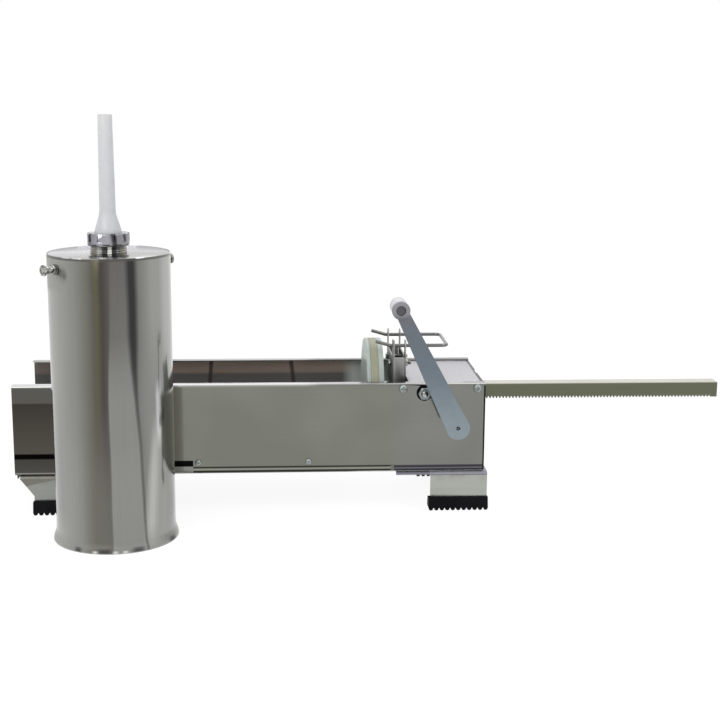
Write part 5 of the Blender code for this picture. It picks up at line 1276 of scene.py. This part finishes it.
def make_lid():
    """The channel lid with the gap between its front tabs and its cross holes."""
    low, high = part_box("gearbox_lid")
    corners = [(low.y, low.z), (low.y, high.z), (high.y, high.z), (high.y, low.z)]
    bend = 0.0025
    lid = folded("lid", corners, [bend, bend], -SHEET, "X", low.x, high.x, 0.00025)
    gap = brick(
        (low.x - PAST, low.y + bend, low.z - PAST),
        (low.x + 0.015, high.y - bend, high.z + PAST),
    )
    holes = [across(f"lid_screw_{end}_near", SCREW_HOLE) for end in ENDS]
    holes.append(across("hold_down_nut", BOLT_HOLE))
    piece("lid_sheet", carved(lid, [gap, joined("holes", holes)]), "frame", "lid", "gearbox_lid")


def make_plates():
    """Edges of the gearbox's own plates and of the latch's bracket are broken a little."""
    for node, finish in (
        ("gearbox_front_plate", "inner"),
        ("rear_end_plate", "inner"),
        ("latch_bracket", "bracket"),
    ):
        mesh = bevelled(copy_of(node), 0.0002, 1, 40)
        piece(f"soft_{node}", mesh, "frame", finish, node)


def make_piston():
    """Nylon discs with the ribbed seal between them."""
    seal_low, seal_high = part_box("piston_seal")
    bore, hub, sink = 0.0053, 0.045, 0.0098
    low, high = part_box("piston_front_disc")
    radius = (high.z - low.z) / 2
    back = seal_low.x - 0.0003
    front_disc = [
        (bore, high.x), (hub, high.x), (hub, back), (radius, back), (radius, low.x),
        (sink, low.x), (sink, low.x + 0.0038), (bore, low.x + 0.0038),
    ]
    front_radii = [0, 0, 0, 0.0004, 0.0016, 0.0004, 0, 0]
    low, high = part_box("piston_rear_disc")
    radius = (high.z - low.z) / 2
    rear_disc = [(bore, high.x), (radius, high.x), (radius, low.x), (bore, low.x)]
    for node, corners, radii in (
        ("piston_front_disc", front_disc, front_radii),
        ("piston_rear_disc", rear_disc, [0, 0.0016, 0.0004, 0]),
    ):
        centre = middle(node)
        centre.x = 0
        disc = placed(lathe(node, rounded(corners, radii), 144), "X", centre)
        piece(f"turned_{node}", disc, "rack", "nylon", node, smooth=50)

    radius = (seal_high.z - seal_low.z) / 2
    rib = 0.0006
    profile = []
    for share in evenly(0, 1, 24):
        wave = 0.5 - 0.5 * math.cos(4 * math.pi * share)
        level = seal_high.x + (seal_low.x - seal_high.x) * share
        profile.append((radius - rib + rib * wave, level))
    profile += [(hub + 0.0003, seal_low.x), (hub + 0.0003, seal_high.x)]
    centre = middle("piston_seal")
    centre.x = 0
    seal = placed(lathe("seal", profile, 144), "X", centre)
    piece("ribbed_seal", seal, "rack", "seal", "piston_seal", smooth=60)


def make_crank():
    """Tapered arm with its boss, the spindle, the turning grip and the hub."""
    axis, tip = middle("crank_shaft"), middle("crank_grip")
    inner_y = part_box("crank_shaft")[0].y - 0.0003
    thick = 0.005
    outer_y = inner_y - thick
    length = math.hypot(tip.x - axis.x, tip.z - axis.z)
    lean = math.atan2(axis.x - tip.x, tip.z - axis.z)
    wide, slim, boss, tip_hole = 0.0145, 0.00775, 0.011, 0.0058
    taper = math.asin((wide - slim) / length)
    low_end = arc((0, 0), wide, math.pi - taper, 2 * math.pi + taper, 28)
    start = taper - math.acos(slim / boss)
    high_end = arc((0, length), boss, start, math.pi - start, 36)
    turn = Matrix.Rotation(lean, 2)
    outline = [tuple(turn @ Vector(point)) for point in low_end + high_end]
    holes = [circle((0, 0), 0.0025), circle(turn @ Vector((0, length)), tip_hole)]
    bar = plate("arm", outline, holes, thick, 0.0006)
    bar = placed(bar, "-Y", (axis.x, (inner_y + outer_y) / 2, axis.z))
    rise = [(tip_hole, 0), (tip_hole, 0.0015), (boss, 0.0015), (boss, 0)]
    ring = lathe("boss", rounded(rise, [0, 0.0004, 0.0006, 0]), ROUND_STEPS)
    ring = placed(ring, "-Y", (tip.x, outer_y, tip.z))
    piece("tapered_arm", joined("arm", [bar, ring]), "crank", "arm", "crank_arm")

    low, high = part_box("crank_grip")
    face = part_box("crank_arm")[0].y + 0.0008
    spindle = [
        (0, high.y + 0.0023), (0.0065, high.y + 0.0023), (0.0065, high.y + 0.0003),
        (0.0040, high.y + 0.0003), (0.0040, inner_y), (0.0055, inner_y), (0.0055, face),
        (0, face),
    ]
    outline = rounded(spindle, [0, 0.0008, 0.0003, 0, 0, 0, 0.0005, 0])
    shape = placed(
        lathe("spindle", outline, ROUND_STEPS, closed=False), "Y", (tip.x, 0, tip.z)
    )
    piece("grip_axle", shape, "crank", "axle", "grip_spindle")

    rim, bore = (high.x - low.x) / 2, 0.0044
    waist = rim - 0.0005
    corners = [
        (bore, high.y), (rim, high.y), (rim, high.y - 0.0028), (waist, high.y - 0.0034),
        (waist, low.y + 0.0034), (rim, low.y + 0.0028), (rim, low.y), (bore, low.y),
    ]
    radii = [0.0004, 0.0014, 0.0004, 0.0006, 0.0006, 0.0004, 0.0010, 0.0004]
    grip = placed(lathe("grip", rounded(corners, radii), 64), "Y", (tip.x, 0, tip.z))
    piece("turning_grip", grip, "grip", "grip", "crank_grip", smooth=45)

    low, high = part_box("crank_hub")
    bore, reach = 0.0063, 0.0115
    corners = [(bore, low.y), (reach, low.y), (reach, high.y), (bore, high.y)]
    hub = lathe("hub", rounded(corners, [0.0003, 0.0005, 0.0008, 0.0004]), 64)
    hub = placed(hub, "Y", (axis.x, 0, axis.z))
    hub = carved(hub, [drill("Z", middle("hub_pin"), 0.0018, -0.02, 0.02)])
    piece("turned_hub", hub, "crank", "arm", "crank_hub", smooth=45)


def make_latch():
    """The wire latch: a flat U whose two free ends bend up to noses."""
    low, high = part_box("latch_wire")
    radius = 0.00225
    near, far = low.y + radius, high.y - radius
    tail, nose = high.x - radius, low.x + 0.0005
    level = low.z + radius
    tip = level + 0.0055
    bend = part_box("latch_bracket")[0].x - 0.002
    corners = [(bend, near), (tail, near), (tail, far), (bend, far)]
    plan = rounded(corners, [0, 0.007, 0.007, 0], 12, closed=False)
    kink = 0.003
    rise = (tip - level) / (bend - nose)

    def nose_points(y):
        return [
            (nose, y, tip),
            (bend - kink, y, level + kink * rise),
            (bend - kink * 0.35, y, level + kink * rise * 0.22),
            (bend + kink * 0.35, y, level),
        ]

    points = nose_points(near) + [(x, y, level) for x, y in plan[1:-1]]
    points += reversed(nose_points(far))
    mesh = wire("bent_latch", points, radius, "wire")
    piece("bent_latch", mesh, "latch", "wire", "latch_wire", smooth=50)


def pan_screw():
    """A domed head of unit radius with a cross recess, its shank pointing down Z."""
    head = [
        (0, 0.66), (0.30, 0.655), (0.58, 0.60), (0.80, 0.48), (0.94, 0.28), (1.0, 0.10),
        (0.97, 0.0), (0.47, 0.0), (0.47, -1.9), (0, -1.9),
    ]
    screw = lathe("pan_screw", head, 40, closed=False)
    slots = [
        brick((-0.52, -0.11, 0.28), (0.52, 0.11, 1)),
        brick((-0.11, -0.52, 0.28), (0.11, 0.52, 1)),
    ]
    return bevelled(carved(screw, slots), 0.03, 1, 50)


def hex_head(radius, height, hole=0):
    """A chamfered hexagon from Z = 0 to height, its corners on radius."""
    corners = arc((0, 0), radius, 0, 5 * math.pi / 3, 5)
    block = prism("hexagon", corners, "Z", 0, height)
    flat, fall = radius * HEX_FLAT, height * 0.22
    dome = [
        (hole, height), (flat * 0.96, height), (radius * 1.01, height - fall),
        (radius * 1.01, fall * 0.6), (flat * 0.98, 0), (hole, 0),
    ]
    limit = lathe("dome", dome, ROUND_STEPS, closed=bool(hole))
    return bevelled(carved(block, [limit], "INTERSECT"), 0.0002, 1, 30)


def threaded_rod(radius, length, pitch, depth):
    """A round bar up Z from 0, threaded over its length."""
    rows = int(length / pitch * 6)
    profile = [(0, length + 0.0003), (radius - depth - 0.0004, length + 0.0003)]
    profile += [(radius, level) for level in evenly(length, 0, rows)]
    profile.append((0, 0))
    cut = thread(radius, pitch, depth)
    return lathe("rod", profile, 32, closed=False, wobble=cut)


def make_screws():
    """Pan screws through both walls. The lid's are drawn with a wider head than the solids."""
    head = pan_screw()
    places, nodes = [], []
    for kind, wider in (("cradle", 1), ("lid", 1.14)):
        for end in ENDS:
            for side, way in zip(SIDES, (-1, 1)):
                node = f"{kind}_screw_{end}_{side}"
                low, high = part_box(node)
                spot = middle(node)
                wall = TROUGH_LOW.y - 0.0003 if way < 0 else TROUGH_HIGH.y + 0.0003
                radius = (high.z - low.z) / 2 * wider
                places.append(((spot.x, wall, spot.z), (0, way, 0), radius))
                nodes.append(node)
    scatter("side_screws", head, places, "frame", "screw", *nodes)


def make_rivets():
    """Rivets through the floor and the legs, domed at both ends."""
    nodes = [f"leg_rivet_{end}_{side}" for end in ENDS for side in SIDES]
    low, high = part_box(nodes[0])
    places = [
        ((middle(node).x, middle(node).y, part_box(node)[0].z), (0, 0, 1), 1) for node in nodes
    ]
    tall, wide, shank = high.z - low.z, (high.x - low.x) / 2, 0.0016
    dome = wide * 0.38
    outline = [
        (0, tall), (wide * 0.6, tall - dome * 0.22), (wide, tall - dome),
        (shank, tall - dome), (shank, dome), (wide, dome), (wide * 0.6, dome * 0.22), (0, 0),
    ]
    shape = lathe("rivet", outline, 32, closed=False)
    scatter("leg_rivets", shape, places, "frame", "legs", *nodes)


def make_latch_bolts():
    """The bracket's two bolts, which face forward, and their nuts, which face back."""
    low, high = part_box("latch_bolt_near")
    reach, head = high.x - low.x, 0.0030
    bolt = joined(
        "latch_bolt",
        [
            placed(hex_head(0.0042, head), "Z", (0, 0, reach - head)),
            threaded_rod(0.0025, reach - head + 0.0001, 0.0008, 0.0003),
        ],
    )
    nut_low, nut_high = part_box("latch_nut_near")
    corner = (nut_high.z - nut_low.z) / 2 / HEX_FLAT * 0.99
    nut = hex_head(corner, nut_high.x - nut_low.x, 0.0028)
    for name, kind, shape, start, way in (
        ("latch_bolts", "bolt", bolt, high.x - 0.0003, -1),
        ("latch_nuts", "nut", nut, nut_low.x, 1),
    ):
        nodes = [f"latch_{kind}_{side}" for side in SIDES]
        places = [
            ((start, middle(node).y, middle(node).z), (way, 0, 0), 1) for node in nodes
        ]
        scatter(name, shape, places, "frame", "chrome", *nodes)


def make_hold_down():
    """The long bolt over the rack, and its nut and washer drawn wider than the solids."""
    low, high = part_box("hold_down_bolt")
    axis = middle("hold_down_nut")
    radius, head, threaded = 0.004, 0.0053, 0.022
    shank = [
        (0, high.y - head + 0.0001), (radius, high.y - head + 0.0001),
        (radius, low.y + threaded + 0.0002), (0, low.y + threaded + 0.0002),
    ]
    parts = [
        placed(hex_head(0.0075, head), "Y", (axis.x, high.y - head, axis.z)),
        placed(
            threaded_rod(radius, threaded, 0.00125, 0.0005), "-Y",
            (axis.x, low.y + threaded + 0.0003, axis.z),
        ),
        placed(
            lathe("shank", shank, ROUND_STEPS, closed=False), "Y", (axis.x, 0, axis.z)
        ),
    ]
    whole = joined("long_bolt", parts)
    piece("long_bolt", whole, "frame", "chrome", "hold_down_bolt", smooth=45)

    low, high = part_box("hold_down_nut")
    gap, thick, reach = 0.0016, 0.0015, 0.0098
    nut = hex_head(0.0083, high.y - low.y - gap, BOLT_HOLE)
    nut = placed(nut, "-Y", (axis.x, high.y - gap, axis.z))
    washer = [(BOLT_HOLE, 0), (reach, 0), (reach, thick), (BOLT_HOLE, thick)]
    ring = lathe("washer", rounded(washer, 0.0003), ROUND_STEPS)
    ring = placed(ring, "-Y", (axis.x, high.y, axis.z))
    piece("long_bolt_nut", joined("nut", [nut, ring]), "frame", "nut", "hold_down_nut")


def dress_nodes():
    """Give every solid that still shows its own finish."""
    by_slot = {
        "polished_steel": "wall", "satin_steel": "inner", "zinc_steel": "arm",
        "olive_steel": "rack", "chrome": "chrome", "bronze": "bronze", "rubber": "rubber",
        "nylon": "nylon", "silicone": "seal", "white_plastic": "grip",
    }
    for entry in frame["record"]["subparts"]:
        materials = NODES[entry["node"]].data.materials
        materials.clear()
        materials.append(FINISHES[by_slot[entry["material_slot"]]][0])


def make_camera():
    """The photograph's view, as fitted to the cylinder, the trough, the feet and the rack."""
    data = bpy.data.cameras.new("camera")
    data.sensor_width = 36
    data.lens = 68.09
    camera = scratch_object("camera", data)
    forward = Vector((0.06291, 0.97844, -0.19671)).normalized()
    up = Vector((0.005735, 0.19674, 0.98046))
    right = forward.cross(up).normalized()
    up = right.cross(forward)
    turn = Matrix((right, up, -forward)).transposed().to_4x4()
    camera.matrix_world = Matrix.Translation((-0.13105, -1.6595, 0.5262)) @ turn
    bpy.context.scene.camera = camera


def white_when_seen(seen, unseen):
    """Pick one shader for camera, glossy and see-through rays, and another for the rest."""
    tree = seen.id_data
    path = add(tree, "LightPath").outputs
    direct = calc("MAXIMUM", path["Is Camera Ray"], path["Is Glossy Ray"])
    share = calc("MAXIMUM", direct, path["Is Transmission Ray"])
    mix = add(tree, "MixShader")
    for socket, value in zip(mix.inputs, (share, unseen, seen)):
        feed(socket, value)
    return mix.outputs[0]


def make_world():
    """White where it is seen, and a dimmer, cooler light on the object."""
    world = bpy.data.worlds.new("studio")
    bpy.context.scene.world = world
    world.use_nodes = True
    tree = world.node_tree
    seen = tree.nodes["Background"]
    feed(seen.inputs["Color"], (1, 1, 1))
    feed(seen.inputs["Strength"], 1)
    fill = add(tree, "Background", Color=(0.96, 0.98, 1), Strength=0.55)
    both = white_when_seen(seen.outputs[0], fill.outputs[0])
    feed(tree.nodes["World Output"].inputs["Surface"], both)


def make_floor():
    """A pale sheet that keeps the object's shadow and turns to plain white far from it."""
    material = bpy.data.materials.new("sweep")
    material.use_nodes = True
    tree = material.node_tree
    tree.nodes.remove(tree.nodes["Principled BSDF"])
    place = add(tree, "TexCoord").outputs["Object"]
    tone = use_group(MOTTLE, place, Scale=3, Light=(0.90, 0.90, 0.89), Dark=(0.87, 0.87, 0.87))
    paper = add(tree, "BsdfDiffuse", Color=tone["Color"])
    spread = add(tree, "VectorMath", {"operation": "LENGTH"}, Vector=place)
    away = rising(spread.outputs["Value"], 0.7, 2.2)
    glow = add(tree, "Emission", Strength=map_range(away, 0.91, 1.0))
    dimmed = add(tree, "BsdfDiffuse", Color=blend(away, (0.16, 0.16, 0.16), (0, 0, 0)))
    bright = add(tree, "AddShader")
    feed(bright.inputs[0], dimmed.outputs[0])
    feed(bright.inputs[1], glow.outputs[0])
    both = white_when_seen(bright.outputs[0], paper.outputs[0])
    feed(tree.nodes["Material Output"].inputs["Surface"], both)
    sweep = brick((-4, -4, -0.02), (4, 6, 0))
    sweep.materials.append(material)
    scratch_object("floor", sweep)


def make_lamps():
    """Three soft square lamps that face the middle of the machine."""
    for name, place, size, power in (
        ("key", (-1.3, -1.7, 2.1), 1.8, 26),
        ("fill", (1.9, -1.3, 2.7), 1.6, 17),
        ("back", (0.4, 1.9, 2.0), 2.0, 12),
    ):
        data = bpy.data.lights.new(name, "AREA")
        data.shape = "SQUARE"
        data.size = size
        data.energy = power
        data.specular_factor = 0.3
        aim = (Vector((0, 0, 0.12)) - Vector(place)).to_track_quat("-Z", "Y")
        lamp = scratch_object(name, data)
        lamp.matrix_world = Matrix.Translation(place) @ aim.to_matrix().to_4x4()


make_camera()
make_world()
make_floor()
make_lamps()
dress_nodes()
make_cylinder()
make_outlet()
make_trough()
make_legs()
make_feet()
make_lid()
make_plates()
make_piston()
make_crank()
make_latch()
make_screws()
make_rivets()
make_latch_bolts()
make_hold_down()

bpy.context.scene.view_settings.view_transform = "Standard"
